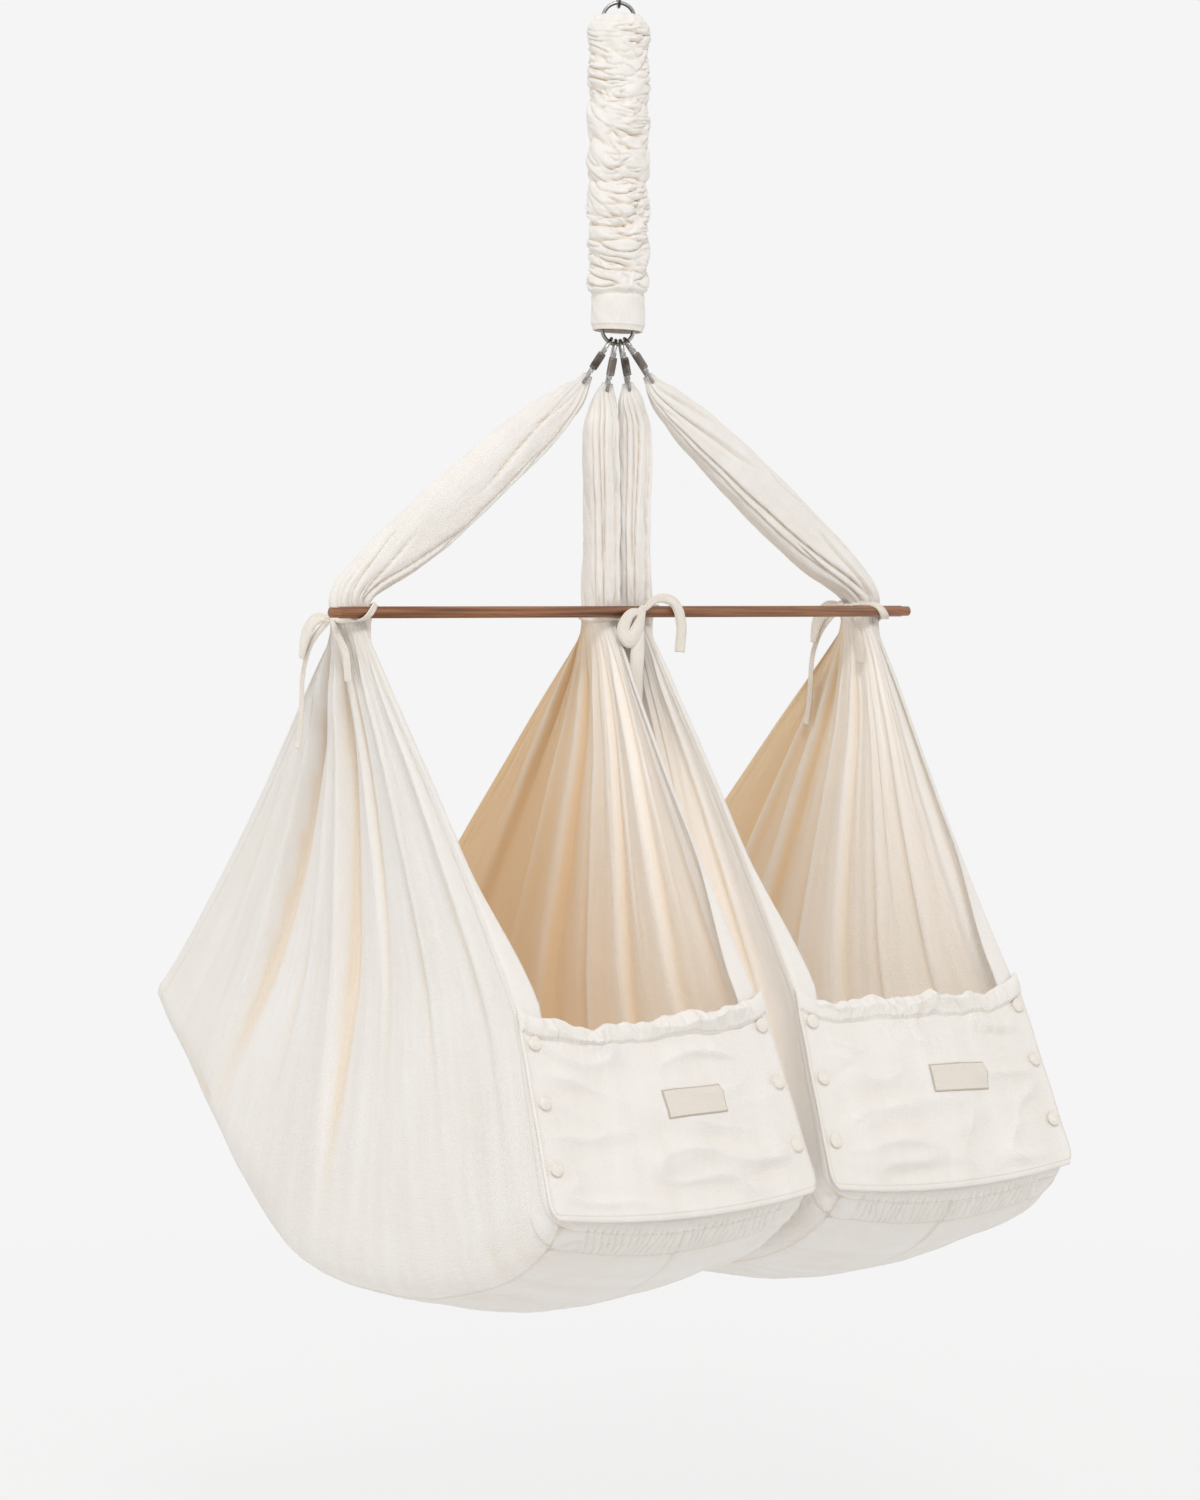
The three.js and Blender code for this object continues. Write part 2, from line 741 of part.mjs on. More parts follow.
// A front panel's face, by its share across from the inner to the outer side and its share up
const panelSeat = clothThickness / 2 + seatGap;
function panelPoint(across, up, lift) {
  const x = lerp(-1, 1, across) * (lerp(slingBottomWidth, slingTopWidth, up) / 2 + clothThickness / 2);
  const arch = 4 * across * (1 - across);
  const droop = -panelTopDroop * arch * up - hemSag * arch * (1 - up);
  const bulge = panelBulge * Math.sin(Math.PI * across) ** 2 * Math.sin(Math.PI * Math.min(up, 0.92));
  const base = at(x, frontBottomY, -frontBottomDrop);
  return base
    .addScaledVector(panelUp, panelHeight * up + droop)
    .addScaledVector(panelOut, panelSeat + bulge + lift);
}

// The panel's thickness, which swells into the ruffled elastic casing along its top
function panelDepth(across, up) {
  const casingStart = 1 - casingHeight / panelHeight;
  const ruffle = 1 + 0.35 * Math.cos(2 * Math.PI * slingFolds * across);
  const swell = up > casingStart && up < 1 ? (casingThickness - panelThickness) * ruffle : 0;
  return panelThickness + swell;
}

function frontPanel() {
  const casingStart = 1 - casingHeight / panelHeight;
  const ups = [0, ...studUps, casingStart, (1 + casingStart) / 2, 1];
  const acrosses = steps(slingColumns / 2);
  const back = ups.map((up) => acrosses.map((across) => panelPoint(across, up, 0)));
  const front = ups.map((up) => acrosses.map((across) => panelPoint(across, up, panelDepth(across, up))));
  return clothBody(front, back);
}

// The blank label, sewn on the panel's face above its middle
function blankLabel() {
  const middleAcross = 0.6;
  const middleUp = 0.56;
  const halfAcross = labelWidth / slingBottomWidth / 2;
  const halfUp = labelHeight / panelHeight / 2;
  const columns = [middleAcross - halfAcross, middleAcross, middleAcross + halfAcross];
  const rows = [middleUp - halfUp, middleUp, middleUp + halfUp];
  const face = (lift) => rows.map((up) => columns.map((across) => panelPoint(across, up, panelThickness + lift)));
  return clothBody(face(2 * seatGap + labelThickness), face(2 * seatGap));
}

// A press stud's domed cap
function studCap() {
  const radius = studDiameter / 2;
  const profile = [
    [0, 0],
    [radius * 0.8, 0],
    [radius, studHeight * 0.35],
    [radius * 0.75, studHeight * 0.85],
    [0, studHeight],
  ].map(([r, h]) => new THREE.Vector2(r, h));
  return new THREE.LatheGeometry(profile, wireSides).rotateX(Math.PI / 2);
}

// A mattress's cross-section as shares of its half width and half thickness
const mattressSection = [
  [0.45, -1],
  [0.9, -1],
  [1, -0.3],
  [1, 0.35],
  [0.88, 0.95],
  [0.45, 1],
];

// The mattress on the sling's bottom, with a crowned top and drawn-in sides
function mattress() {
  const section = [...mattressSection, [0, 1], ...mattressSection.map(([x, z]) => [-x, z]).reverse(), [0, -1]];
  const floor = clothThickness / 2 + seatGap + mattressThickness / 2;
  const rings = [];
  for (let index = 0; index <= mattressSteps; index++) {
    const part = lerp(mattressRearShare, mattressFrontShare, share(index, mattressSteps));
    const place = foldLine.getPoint(part);
    const slope = foldLine.getPoint(part + 0.02).sub(foldLine.getPoint(part - 0.02)).normalize();
    const up = new THREE.Vector2(slope.y, -slope.x);
    const end = Math.min(index, mattressSteps - index);
    const fullness = [0.5, 0.9, 1][Math.min(end, 2)];
    const half = (mattressWidth / 2) * [0.92, 0.99, 1][Math.min(end, 2)];
    rings.push(
      section.map(([xShare, zShare]) => {
        const x = -half * xShare;
        const crown = zShare > 0 ? mattressCrown * (1 - xShare ** 2) : 0;
        const thick = (mattressThickness / 2) * (zShare < 0 ? 1 : fullness);
        const height = floor + thick * zShare + crown * fullness;
        return at(x, place.x + up.x * height, place.y + bottomHeight(part, x) + up.y * height);
      }),
    );
  }
  return loft(rings);
}

// A gathered strap from a carabiner's lower bow down to the bar
const strapProfiles = {
  outer: [
    { part: 0, width: strapEndWidth * 0.7, thickness: strapEndThickness * 0.7 },
    { part: 0.02, width: strapEndWidth, thickness: strapEndThickness },
    { part: 0.07, width: strapEndWidth * 1.5, thickness: strapEndThickness * 1.6 },
    { part: 0.2, width: strapWidth * 0.85, thickness: strapThickness * 0.9 },
    { part: 0.4, width: strapWidth, thickness: strapThickness },
    { part: 0.6, width: strapWidth * 1.04, thickness: strapThickness },
    { part: 0.78, width: strapWidth * 0.95, thickness: strapThickness * 1.05 },
    { part: 0.9, width: bundleX * 1.05, thickness: bundleY * 0.92 },
    { part: 0.96, width: bundleX, thickness: bundleY },
    { part: 1, width: bundleX, thickness: bundleY },
  ],
};
strapProfiles.inner = strapProfiles.outer.map(({ part, width, thickness }) => ({
  part,
  width: part > 0.07 && part < 0.9 ? innerStrapWidth : Math.min(width, bundleX),
  thickness,
}));

function strap(side, outer, lean) {
  const matrix = lowerCarabinerMatrix(lean);
  const bowEnd = at(0, 0, strapOverBow - carabinerReach).applyMatrix4(matrix);
  const bow = at(0, 0, -carabinerReach - strapUnderBow).applyMatrix4(matrix);
  const gather = side * (outer ? gatherX : innerGatherX);
  const foot = at(gather, 0, seatGap - barDrop);
  const straight = at(gather, 0, 1.5 * gatherStraight - barDrop);
  const away = bow.clone().lerp(straight, outer ? 1 / 3 : 1 / 6);
  const near = straight.clone().lerp(bow, 1 / 3);
  if (!outer) {
    away.x = gather;
    away.y = 0;
  }
  const curve = new THREE.CatmullRomCurve3([bowEnd, bow, away, near, straight, foot], false, "centripetal");
  const profile = outer ? strapProfiles.outer : strapProfiles.inner;
  const across = at(1, 0, 0).transformDirection(matrix);
  const rings = profile.map(({ part, width, thickness }) => {
    const middle = curve.getPointAt(part);
    const tangent = part === 1 ? at(0, 0, -1) : curve.getTangentAt(part);
    const depth = across.clone().lerp(at(0, 1, 0), smoothstep(part, 0, 0.2));
    depth.addScaledVector(tangent, -depth.dot(tangent)).normalize();
    const broad = tangent.clone().cross(depth);
    return Array.from({ length: strapSides }, (_, k) => {
      const angle = 2 * Math.PI * share(k, strapSides);
      const pleat = part < 0.95 ? 1 - 0.09 * (1 + Math.cos(5 * angle + 3 * part)) : 1;
      return middle
        .clone()
        .addScaledVector(broad, (width / 2) * pleat * Math.cos(angle))
        .addScaledVector(depth, (thickness / 2) * pleat * Math.sin(angle));
    });
  });
  const wire = carabinerWireBody(carabinerWire / 2 + seatGap).applyMatrix4(matrix);
  return cut(loft(rings), wire);
}

// The route of a lashing in the frame of its gather: diagonally over the bar's front, and
// round the back of the cloth. Each place holds its own outward direction.
function lashing(x, spread, rise) {
  const round = barRadius + tieLift;
  const crossing = bundleX / 4 + spread / 3;
  const overBar = steps(6).map((part) => {
    const angle = lerp(-Math.PI / 2, Math.PI / 2, part);
    const out = at(0, -Math.cos(angle), Math.sin(angle));
    const middle = at(x + rise * lerp(-crossing, crossing, part), barY, -barDrop);
    return { point: middle.addScaledVector(out, round), out };
  });
  const behindCount = 10;
  const behind = Array.from({ length: behindCount }, (_, index) => {
    const part = share(index + 1 / 2, behindCount);
    const angle = lerp(-Math.PI / 3, (4 / 3) * Math.PI, part);
    const out = at(rise * Math.cos(angle), Math.sin(angle), 0);
    const sideways = spread * Math.sign(out.x);
    const height = lerp(round, -round, part);
    const reach = at(out.x * (bundleX / 2 + tieLift), out.y * (bundleY / 2 + tieLift), height - barDrop);
    return { point: reach.add(at(x + sideways, 0, 0)), out };
  });
  return [...overBar, ...behind];
}

// A free end of a tie, as a ribbon through places measured from the knot in widths of the tie
function tail(knot, { placeShares, facing, widths }) {
  const curve = new THREE.CatmullRomCurve3(placeShares.map((place) => at(...place).multiplyScalar(tieWidth).add(knot)));
  const path = steps(widths.length - 1).map((part) => curve.getPointAt(part));
  const rings = ribbonRings(path, path.map(() => facing), widths.map((part) => part * tieWidth), tieThickness);
  return loft(rings);
}

function tie({ x, spread, rise, knotPlace, knotShares, tails }) {
  const places = lashing(x, spread, rise);
  const points = places.map(({ point }) => point);
  const outwards = places.map(({ out }) => out);
  const ring = loft(ribbonRings(points, outwards, points.map(() => tieWidth), tieThickness, true), true);
  const knot = at(x, 0, -barDrop).add(knotPlace);
  const ball = new THREE.SphereGeometry(knotSize / 2, wireSides, wireSides / 2);
  ball.scale(...knotShares).translate(...knot.toArray());
  return join(ring, ball, ...tails.map((route) => tail(knot, route)));
}

const ribbonShares = [1, 1, 1, 1, 1, 1];
const leafShares = [0.7, 1.7, 2.5, 2.4, 1.8, 0.6];
const flapShares = [0.7, 1.2, 1.5, 1.7, 1.8, 1.7];
const bowShares = [0.7, 1.6, 2.2, 2.4, 2, 1];
const sideOut = bundleX / 2 + tieLift + tieThickness / 2;
const barFront = barY - barRadius - tieLift - tieThickness / 2;

// The side ties are knotted on the left of their gather, and their ends hang down the cloth
const sideTails = [
  {
    placeShares: [
      [0.125, 0, 0],
      [-0.5, 3.75, -3.25],
      [-0.125, 6.75, -7.75],
      [0.25, 7.75, -12.75],
      [0.25, 8.75, -18],
    ],
    facing: at(-1, 0, 0),
    widths: ribbonShares,
  },
  {
    placeShares: [
      [0.125, 0, 0.125],
      [-1, 2.25, -0.25],
      [-1.375, 4.25, -2.5],
      [-1.25, 5.25, -5.5],
    ],
    facing: at(-1, 0, 0),
    widths: bowShares,
  },
  {
    placeShares: [
      [0.125, -0.25, 0],
      [-0.25, -2.25, -2],
      [0.625, -3, -4.75],
      [1, -3.125, -8.5],
    ],
    facing: at(-1, 0, 0),
    widths: flapShares,
  },
];

const middleTails = [
  {
    placeShares: [
      [0, 0, 0],
      [-0.625, -0.5, -3.375],
      [-1, -0.5, -8.875],
      [-0.375, -0.25, -14.875],
    ],
    facing: at(0, -1, 0),
    widths: leafShares,
  },
  {
    placeShares: [
      [0.125, 0, 0],
      [2.875, -0.25, 1.75],
      [5.625, -0.25, 1.125],
      [6.875, -0.25, -1.625],
      [6.625, -0.25, -5.875],
    ],
    facing: at(0, -1, 0),
    widths: flapShares,
  },
];

// The lashing comes to the left of a gather under the bar where it rises, over it where it falls
const sideTie = (x, rise) => ({
  x,
  spread: 0,
  rise,
  knotPlace: at(-sideOut - tieWidth / 8, tieWidth / 2, -rise * barRadius),
  knotShares: [0.55, 1.1, 1],
  tails: sideTails,
});
const middleTie = {
  x: 0,
  spread: innerGatherX,
  rise: 1,
  knotPlace: at((3 / 8) * tieWidth, barFront - tieWidth / 8, tieWidth / 8),
  knotShares: [1.5, 0.7, 1.1],
  tails: middleTails,
};

// The assembly
const cradle = new THREE.Group();

const topHanger = new THREE.Group();
topHanger.rotation.z = turned;
topHanger.position.z = carabinerWire / 2;
cradle.add(topHanger);
addCarabiner("top_carabiner", topHanger);

const springGroup = new THREE.Group();
springGroup.rotation.z = turned;
cradle.add(springGroup);
named("spring", spring(), steel(), springGroup);
named("spring_sleeve", springSleeve(), cotton(), springGroup);

for (const { name, lean } of lowerCarabiners) {
  const hanging = new THREE.Group();
  hanging.applyMatrix4(lowerCarabinerMatrix(lean));
  cradle.add(hanging);
  addCarabiner(name, hanging);
}

named("spreader_bar", spreaderBar(), material(walnutColour, 0.45), cradle);
named("left_tie", tie(sideTie(-gatherX, 1)), cotton(), cradle);
named("middle_tie", tie(middleTie), cotton(), cradle);
named("right_tie", tie(sideTie(gatherX, -1)), cotton(), cradle);

for (const [hand, side] of [
  ["left", -1],
  ["right", 1],
]) {
  named(`${hand}_outer_strap`, strap(side, true, -side * outerLean), cotton(), cradle);
  named(`${hand}_inner_strap`, strap(side, false, -side * innerLean), cotton(), cradle);

  const half = new THREE.Group();
  half.position.set((side * cradleSpacing) / 2, 0, -barDrop);
  cradle.add(half);
  const mirrored = (geometry) => (side < 0 ? turnedFaces(geometry) : geometry);
  for (const [place, panel] of Object.entries(slingPanels())) {
    named(`${hand}_sling_${place}`, mirrored(panel), cotton(), half);
  }
  named(`${hand}_front_panel`, mirrored(frontPanel()), cotton(), half);
  named(`${hand}_blank_label`, blankLabel(), material(labelColour, 0.8), half);
  named(`${hand}_mattress`, mirrored(mattress()), material(mattressColour, 0.95), half);
  for (const [edge, across] of [
    ["left", studInset / slingBottomWidth],
    ["right", 1 - studInset / slingBottomWidth],
  ]) {
    studUps.forEach((up, index) => {
      const stud = named(
        `${hand}_${edge}_stud_${index + 1}`,
        studCap(),
        material(studColour, 0.5),
        half,
      );
      stud.position.copy(panelPoint(across, up, panelDepth(across, up) + 2 * seatGap));
      stud.quaternion.setFromUnitVectors(at(0, 0, 1), panelOut);
    });
  }
}

// The same body mirrored in X, with its faces turned back to point out
function turnedFaces(geometry) {
  const mirror = geometry.clone().applyMatrix4(new THREE.Matrix4().makeScale(-1, 1, 1));
  const order = mirror.index.array;
  for (let i = 0; i < order.length; i += 3) {
    [order[i + 1], order[i + 2]] = [order[i + 2], order[i + 1]];
  }
  mirror.computeVertexNormals();
  return mirror;
}

export default cradle;
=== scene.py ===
"""Twin hanging cradle: two cotton slings on one wooden bar, hung from a spring in a scrunched sleeve.

Sizes are in millimetres and follow the part's own. A mesh is turned to metres when it is made."""

import math

import bpy
import numpy as np
from mathutils import Matrix, Vector


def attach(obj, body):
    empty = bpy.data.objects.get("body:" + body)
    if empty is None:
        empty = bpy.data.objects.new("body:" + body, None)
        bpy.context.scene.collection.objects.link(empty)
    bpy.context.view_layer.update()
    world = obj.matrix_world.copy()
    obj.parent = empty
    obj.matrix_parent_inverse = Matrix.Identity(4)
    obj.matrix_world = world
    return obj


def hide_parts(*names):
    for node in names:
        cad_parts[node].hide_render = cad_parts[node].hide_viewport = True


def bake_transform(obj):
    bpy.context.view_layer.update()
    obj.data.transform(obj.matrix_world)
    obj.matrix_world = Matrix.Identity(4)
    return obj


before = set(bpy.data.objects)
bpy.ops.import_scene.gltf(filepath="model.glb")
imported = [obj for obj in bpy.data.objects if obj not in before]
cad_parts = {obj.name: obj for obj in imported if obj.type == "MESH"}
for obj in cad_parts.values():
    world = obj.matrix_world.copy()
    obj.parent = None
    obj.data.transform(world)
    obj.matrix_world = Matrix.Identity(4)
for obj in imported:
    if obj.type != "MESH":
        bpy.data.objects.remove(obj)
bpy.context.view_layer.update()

MM = 0.001
SEAT_GAP = 0.3

# Carabiners, with spans measured along Z from the top bow's wire
CARABINER_LENGTH = 64
CARABINER_WIDTH = 30
CARABINER_WIRE = 4
GATE_DIAMETER = 5.2
GATE_TONGUE = 2
GATE_SLOT_GAP = 0.35
GATE_SPAN = (-46, -14.38)
HINGE_TONGUE = (-47.5, -41.9)
NOSE_TONGUE = (-19.58, -12)
HINGE_SLOT = (-50, -41)
NOSE_SLOT = (-20.66, -10)
LOCK_SLEEVE_DIAMETER = 9
LOCK_SLEEVE_SPAN = (-40.96, -20.96)
LOCK_SLEEVE_RIM = 2.2
HANGER_TURN = 30
OUTER_LEAN = 33
INNER_LEAN = 10.5

# Spring and sleeve
SPRING_LOOP_DIAMETER = 36
SPRING_WIRE = 4.5
SPRING_CURLS = 26
LOOP_LEAD = 7
STEPS_PER_TURN = 28
SLEEVE_LENGTH = 355
SLEEVE_OVER_LOOP = 3
SLEEVE_RADIUS = 35
SLEEVE_HEM_RADIUS = 30.5
SLEEVE_HEM_LENGTH = 42

# Bar
BAR_DROP = 741
BAR_LENGTH = 800
BAR_DIAMETER = 13
BAR_TIP_DIAMETER = 11.4
BAR_TIP_LENGTH = 11
GATHER_INSET = 46
BUNDLE_X = 44
BUNDLE_Y = 48
GATHER_STRAIGHT = 12

# Slings, with drops measured from the bar's axis
REAR_CORNER = (478, -470)
LOWEST = (10, -747)
FRONT_BOTTOM = (-386, -614)
FRONT_TOP = (-298, -406)
SLING_TOP_WIDTH = 312
SLING_BOTTOM_WIDTH = 341
CRADLE_GAP = 21
CORNER_RADIUS = 45
BELLY_SAG = 24
HEM_SAG = 12
CLOTH = 1.7
HALF_SOLID_CLOTH = 1.5
FRONT_FLANGE = 26
HEM_FLANGE = 4
LIP_FLANGE = 14
HEM_WIDTH = 16

# Straps
STRAP_WIDTH = 64
STRAP_THICKNESS = 38
STRAP_OVER_BOW = 11
STRAP_UNDER_BOW = 7
STRAP_END_WIDTH = 17
STRAP_END_THICKNESS = 13
INNER_STRAP_WIDTH = 42
STRAP_GIRTH = 190

# Front panels, labels and press studs
PANEL_SEAT = 1.8
PANEL_THICKNESS = 3
PANEL_BULGE = 8
PANEL_TOP_DROOP = 22
LINING = 1.3
CASING_HEIGHT = 24
CASING_THICKNESS = 8
LABEL_WIDTH = 84
LABEL_HEIGHT = 33
STUD_DIAMETER = 15
STUD_INSET = 14
STUD_SEAT = 0.6
STUD_UPS = (0.25, 0.57, 0.86)

# Mattresses, each over a span of the floor's length, ties, and a seam height so low that none is drawn
MATTRESS_WIDTH = 280
MATTRESS_THICKNESS = 34
MATTRESS_SPAN = (0.2, 0.9)
TIE_WIDTH = 8
TIE_THICKNESS = 1.5
TIE_SLACK = 1.3
NO_SEAM = -50

# Worked out from the sizes above. KNEE is how far down a wall, as a share, the panel's top corner is.
BAR_RADIUS = BAR_DIAMETER / 2
FLAT_HALF = SLING_BOTTOM_WIDTH / 2 - CORNER_RADIUS
TIE_LIFT = SEAT_GAP + TIE_SLACK + TIE_THICKNESS / 2
BAR_Y = -(BUNDLE_Y / 2 + TIE_LIFT + TIE_THICKNESS / 2 + BAR_RADIUS)
GATHER_X = BAR_LENGTH / 2 - GATHER_INSET
INNER_GATHER_X = BUNDLE_X / 2 + SEAT_GAP
CRADLE_SPACING = SLING_BOTTOM_WIDTH + CRADLE_GAP
LOOP_RADIUS = SPRING_LOOP_DIAMETER / 2
TOP_LOOP_Z = -(CARABINER_LENGTH - 2 * CARABINER_WIRE) + SEAT_GAP + SPRING_WIRE / 2 - LOOP_RADIUS
SLEEVE_TOP_Z = TOP_LOOP_Z + SLEEVE_OVER_LOOP
SLEEVE_BOTTOM_Z = SLEEVE_TOP_Z - SLEEVE_LENGTH
BOTTOM_LOOP_Z = SLEEVE_BOTTOM_Z + SLEEVE_OVER_LOOP
LOWER_BOW_RADIUS = LOOP_RADIUS - SPRING_WIRE / 2 - SEAT_GAP - CARABINER_WIRE / 2
BOW_RADIUS = (CARABINER_WIDTH - CARABINER_WIRE) / 2
CARABINER_REACH = CARABINER_LENGTH - CARABINER_WIRE
TURNED = math.radians(90 - HANGER_TURN)
KNEE = (-FRONT_TOP[1] - GATHER_STRAIGHT) / (-FRONT_BOTTOM[1] - GATHER_STRAIGHT)
PANEL_UP = Vector((0, FRONT_TOP[0] - FRONT_BOTTOM[0], FRONT_TOP[1] - FRONT_BOTTOM[1]))
PANEL_HEIGHT = PANEL_UP.length
CASING_START = 1 - CASING_HEIGHT / PANEL_HEIGHT
PANEL_UP.normalize()
PANEL_OUT = Vector((0, -PANEL_UP.z, PANEL_UP.y))


# Numbers


def smooth(x, low, high):
    share = np.clip((x - low) / (high - low), 0, 1)
    return share * share * (3 - 2 * share)


def mix(a, b, share):
    return a + (b - a) * share


def rounded(sizes, reach):
    """A row of sizes with its steps averaged over reach places to each side."""
    width = 2 * reach + 1
    return np.convolve(np.pad(sizes, reach, mode="edge"), np.ones(width) / width, mode="valid")


def noise(x, y, seed):
    """Smooth noise from -1 to 1, one value for each pair of places."""
    x, y = np.broadcast_arrays(np.asarray(x, float), np.asarray(y, float))
    cell_x, cell_y = np.floor(x).astype(np.int64), np.floor(y).astype(np.int64)
    in_x, in_y = x - cell_x, y - cell_y

    def corner(i, j):
        code = ((cell_x + i) * 374761393 + (cell_y + j) * 668265263 + seed * 974634777) & 0xFFFFFFFF
        code = ((code ^ (code >> 13)) * 1274126177) & 0xFFFFFFFF
        angle = (code ^ (code >> 16)) * (2 * np.pi / 2**32)
        return np.cos(angle) * (in_x - i) + np.sin(angle) * (in_y - j)

    ease_x, ease_y = (s**3 * (s * (6 * s - 15) + 10) for s in (in_x, in_y))
    low = mix(corner(0, 0), corner(1, 0), ease_x)
    high = mix(corner(0, 1), corner(1, 1), ease_x)
    return 1.4 * mix(low, high, ease_y)


def unit(vectors):
    return vectors / np.maximum(np.linalg.norm(vectors, axis=-1, keepdims=True), 1e-9)


def grid_normals(grid):
    """The direction square to a grid of points at each of them."""
    return unit(np.cross(np.gradient(grid, axis=0), np.gradient(grid, axis=1)))


def along_grid(grid, axis):
    """How far each point of a grid lies from the grid's edge, measured over the surface."""
    stretch = np.linalg.norm(np.diff(grid, axis=axis), axis=-1)
    pad = [(1, 0) if i == axis else (0, 0) for i in range(2)]
    return np.cumsum(np.pad(stretch, pad), axis=axis)


def hollows(lift, reach, axis=0, around=False):
    """How far each place lies below the mean height of its neighbours along one axis."""
    level = np.zeros_like(lift)
    pad = [(reach, reach) if i == axis else (0, 0) for i in range(2)]
    padded = np.pad(lift, pad, mode="wrap" if around else "edge")
    count = lift.shape[axis]
    for shift in range(2 * reach + 1):
        level += np.take(padded, np.arange(shift, shift + count), axis=axis)
    return level / (2 * reach + 1) - lift


def run_along(path):
    """How far each point of a path lies from its start."""
    return np.concatenate([[0], np.cumsum(np.linalg.norm(np.diff(path, axis=0), axis=1))])


def smooth_path(points, count):
    """Evenly spaced points on a smooth curve through the points."""
    points = np.array([list(point) for point in points], float)
    ends = np.vstack([2 * points[0] - points[1], points, 2 * points[-1] - points[-2]])
    pieces = []
    for before, start, stop, after in zip(ends, ends[1:], ends[2:], ends[3:]):
        sides = (before, start), (start, stop), (stop, after)
        gaps = [max(np.linalg.norm(b - a), 1e-6) ** 0.5 for a, b in sides]
        first = (start - before) / gaps[0] - (stop - before) / (gaps[0] + gaps[1]) + (stop - start) / gaps[1]
        last = (stop - start) / gaps[1] - (after - start) / (gaps[1] + gaps[2]) + (after - stop) / gaps[2]
        first, last = first * gaps[1], last * gaps[1]
        t = np.linspace(0, 1, 40, endpoint=False)[:, None]
        square = 3 * (stop - start) - 2 * first - last
        cube = 2 * (start - stop) + first + last
        pieces.append(start + first * t + square * t**2 + cube * t**3)
    dense = np.vstack(pieces + [points[-1:]])
    reach = run_along(dense)
    places = np.linspace(0, reach[-1], count)
    return np.stack([np.interp(places, reach, dense[:, axis]) for axis in range(3)], axis=1)


# Meshes


def closed_faces(points, faces):
    """The faces, turned round where they enclose a negative volume."""
    fans = [(face[0], b, c) for face in faces for b, c in zip(face[1:], face[2:])]
    a, b, c = points[np.array(fans)].transpose(1, 0, 2)
    return [face[::-1] for face in faces] if np.einsum("ij,ij->", a, np.cross(b, c)) < 0 else faces


def grid_quads(rows, columns):
    """Faces of a grid of points that are numbered row by row."""
    i, j = np.meshgrid(np.arange(rows - 1), np.arange(columns - 1), indexing="ij")
    a = i * columns + j
    return np.stack([a, a + 1, a + 1 + columns, a + columns], axis=-1).reshape(-1, 4).tolist()


def add_mesh(name, points, faces, finish, maps, values):
    """A new object from points in millimetres, with its UV maps and values given point by point."""
    mesh = bpy.data.meshes.new(name)
    mesh.from_pydata((points * MM).tolist(), [], closed_faces(points, faces))
    corner_points = np.empty(len(mesh.loops), np.int32)
    mesh.loops.foreach_get("vertex_index", corner_points)
    for map_name, places in maps.items():
        layer = mesh.uv_layers.new(name=map_name)
        layer.data.foreach_set("uv", (places * MM)[corner_points].ravel())
    for value_name, numbers in values.items():
        layer = mesh.attributes.new(value_name, "FLOAT", "POINT")
        layer.data.foreach_set("value", numbers)
    mesh.shade_smooth()
    mesh.materials.append(finish)
    obj = bpy.data.objects.new(name, mesh)
    bpy.context.scene.collection.objects.link(obj)
    return obj


def cloth_piece(name, front, back, finish, weave, seam, tube=False, **shades):
    """A piece of cloth between two matching grids. weave and seam hold places in millimetres for the
    finish. Warmth is how far front and back take the cloth's painted tan shade, and PaintedGlow
    how strongly they glow, painted light standing in for light coming through them. A tube's last
    column lies on its first."""
    rows, columns = front.shape[:2]
    points = np.vstack([front.reshape(-1, 3), back.reshape(-1, 3)])
    other = rows * columns
    faces = grid_quads(rows, columns)
    faces += [[corner + other for corner in face[::-1]] for face in faces]
    top, bottom = [*range(columns)], [*range(other - 1, other - columns - 1, -1)]
    down, up = [*range(columns - 1, other, columns)], [*range(other - columns, -1, -columns)]
    for rim in (top, bottom) if tube else (top, down, bottom, up):
        faces += [[b, a, a + other, b + other] for a, b in zip(rim, rim[1:])]
    maps = {"Weave": np.vstack([weave.reshape(-1, 2)] * 2), "Seam": np.vstack([seam.reshape(-1, 2)] * 2)}
    values = {shade: np.concatenate([side.ravel() for side in sides]) for shade, sides in shades.items()}
    piece = add_mesh(name, points, faces, finish, maps, values)
    if tube:
        merge_doubles(piece)
    return piece


def wound_piece(name, rings, finish, girth, painted_shade):
    """A closed body from rings of points, with its ends closed and a weave as wide as its girth. The
    first column comes again at the end, so that the weave doesn't run backwards over the join."""
    rings, painted_shade = (np.concatenate([grid, grid[:, :1]], axis=1) for grid in (rings, painted_shade))
    rows, width = rings.shape[:2]
    points = np.vstack([rings.reshape(-1, 3), rings[:1, :-1].mean(1), rings[-1:, :-1].mean(1)])
    faces = grid_quads(rows, width)
    for start, centre, order in ((0, rows * width, 1), ((rows - 1) * width, rows * width + 1, -1)):
        faces += [[centre, k + 1, k][::order] for k in range(start, start + width - 1)]

    def with_ends(grid):
        flat = grid.reshape(rows * width, -1)
        return np.vstack([flat, flat[:1], flat[-1:]])

    long_way = along_grid(rings, 0)
    round_way = np.linspace(0, 1, width) * girth * np.ones((rows, 1))
    maps = {
        "Weave": with_ends(np.stack([long_way, round_way], axis=-1)),
        "Seam": with_ends(np.stack([long_way, np.full_like(long_way, NO_SEAM)], axis=-1)),
    }
    piece = add_mesh(name, points, faces, finish, maps, {"Warmth": with_ends(painted_shade).ravel()})
    merge_doubles(piece)
    return piece


def only(obj):
    """Makes an object the only one that an operator works on."""
    bpy.ops.object.select_all(action="DESELECT")
    obj.select_set(True)
    bpy.context.view_layer.objects.active = obj


def merge_doubles(obj):
    only(obj)
    bpy.ops.object.mode_set(mode="EDIT")
    bpy.ops.mesh.select_all(action="SELECT")
    bpy.ops.mesh.remove_doubles(threshold=1e-6)
    bpy.ops.object.mode_set(mode="OBJECT")


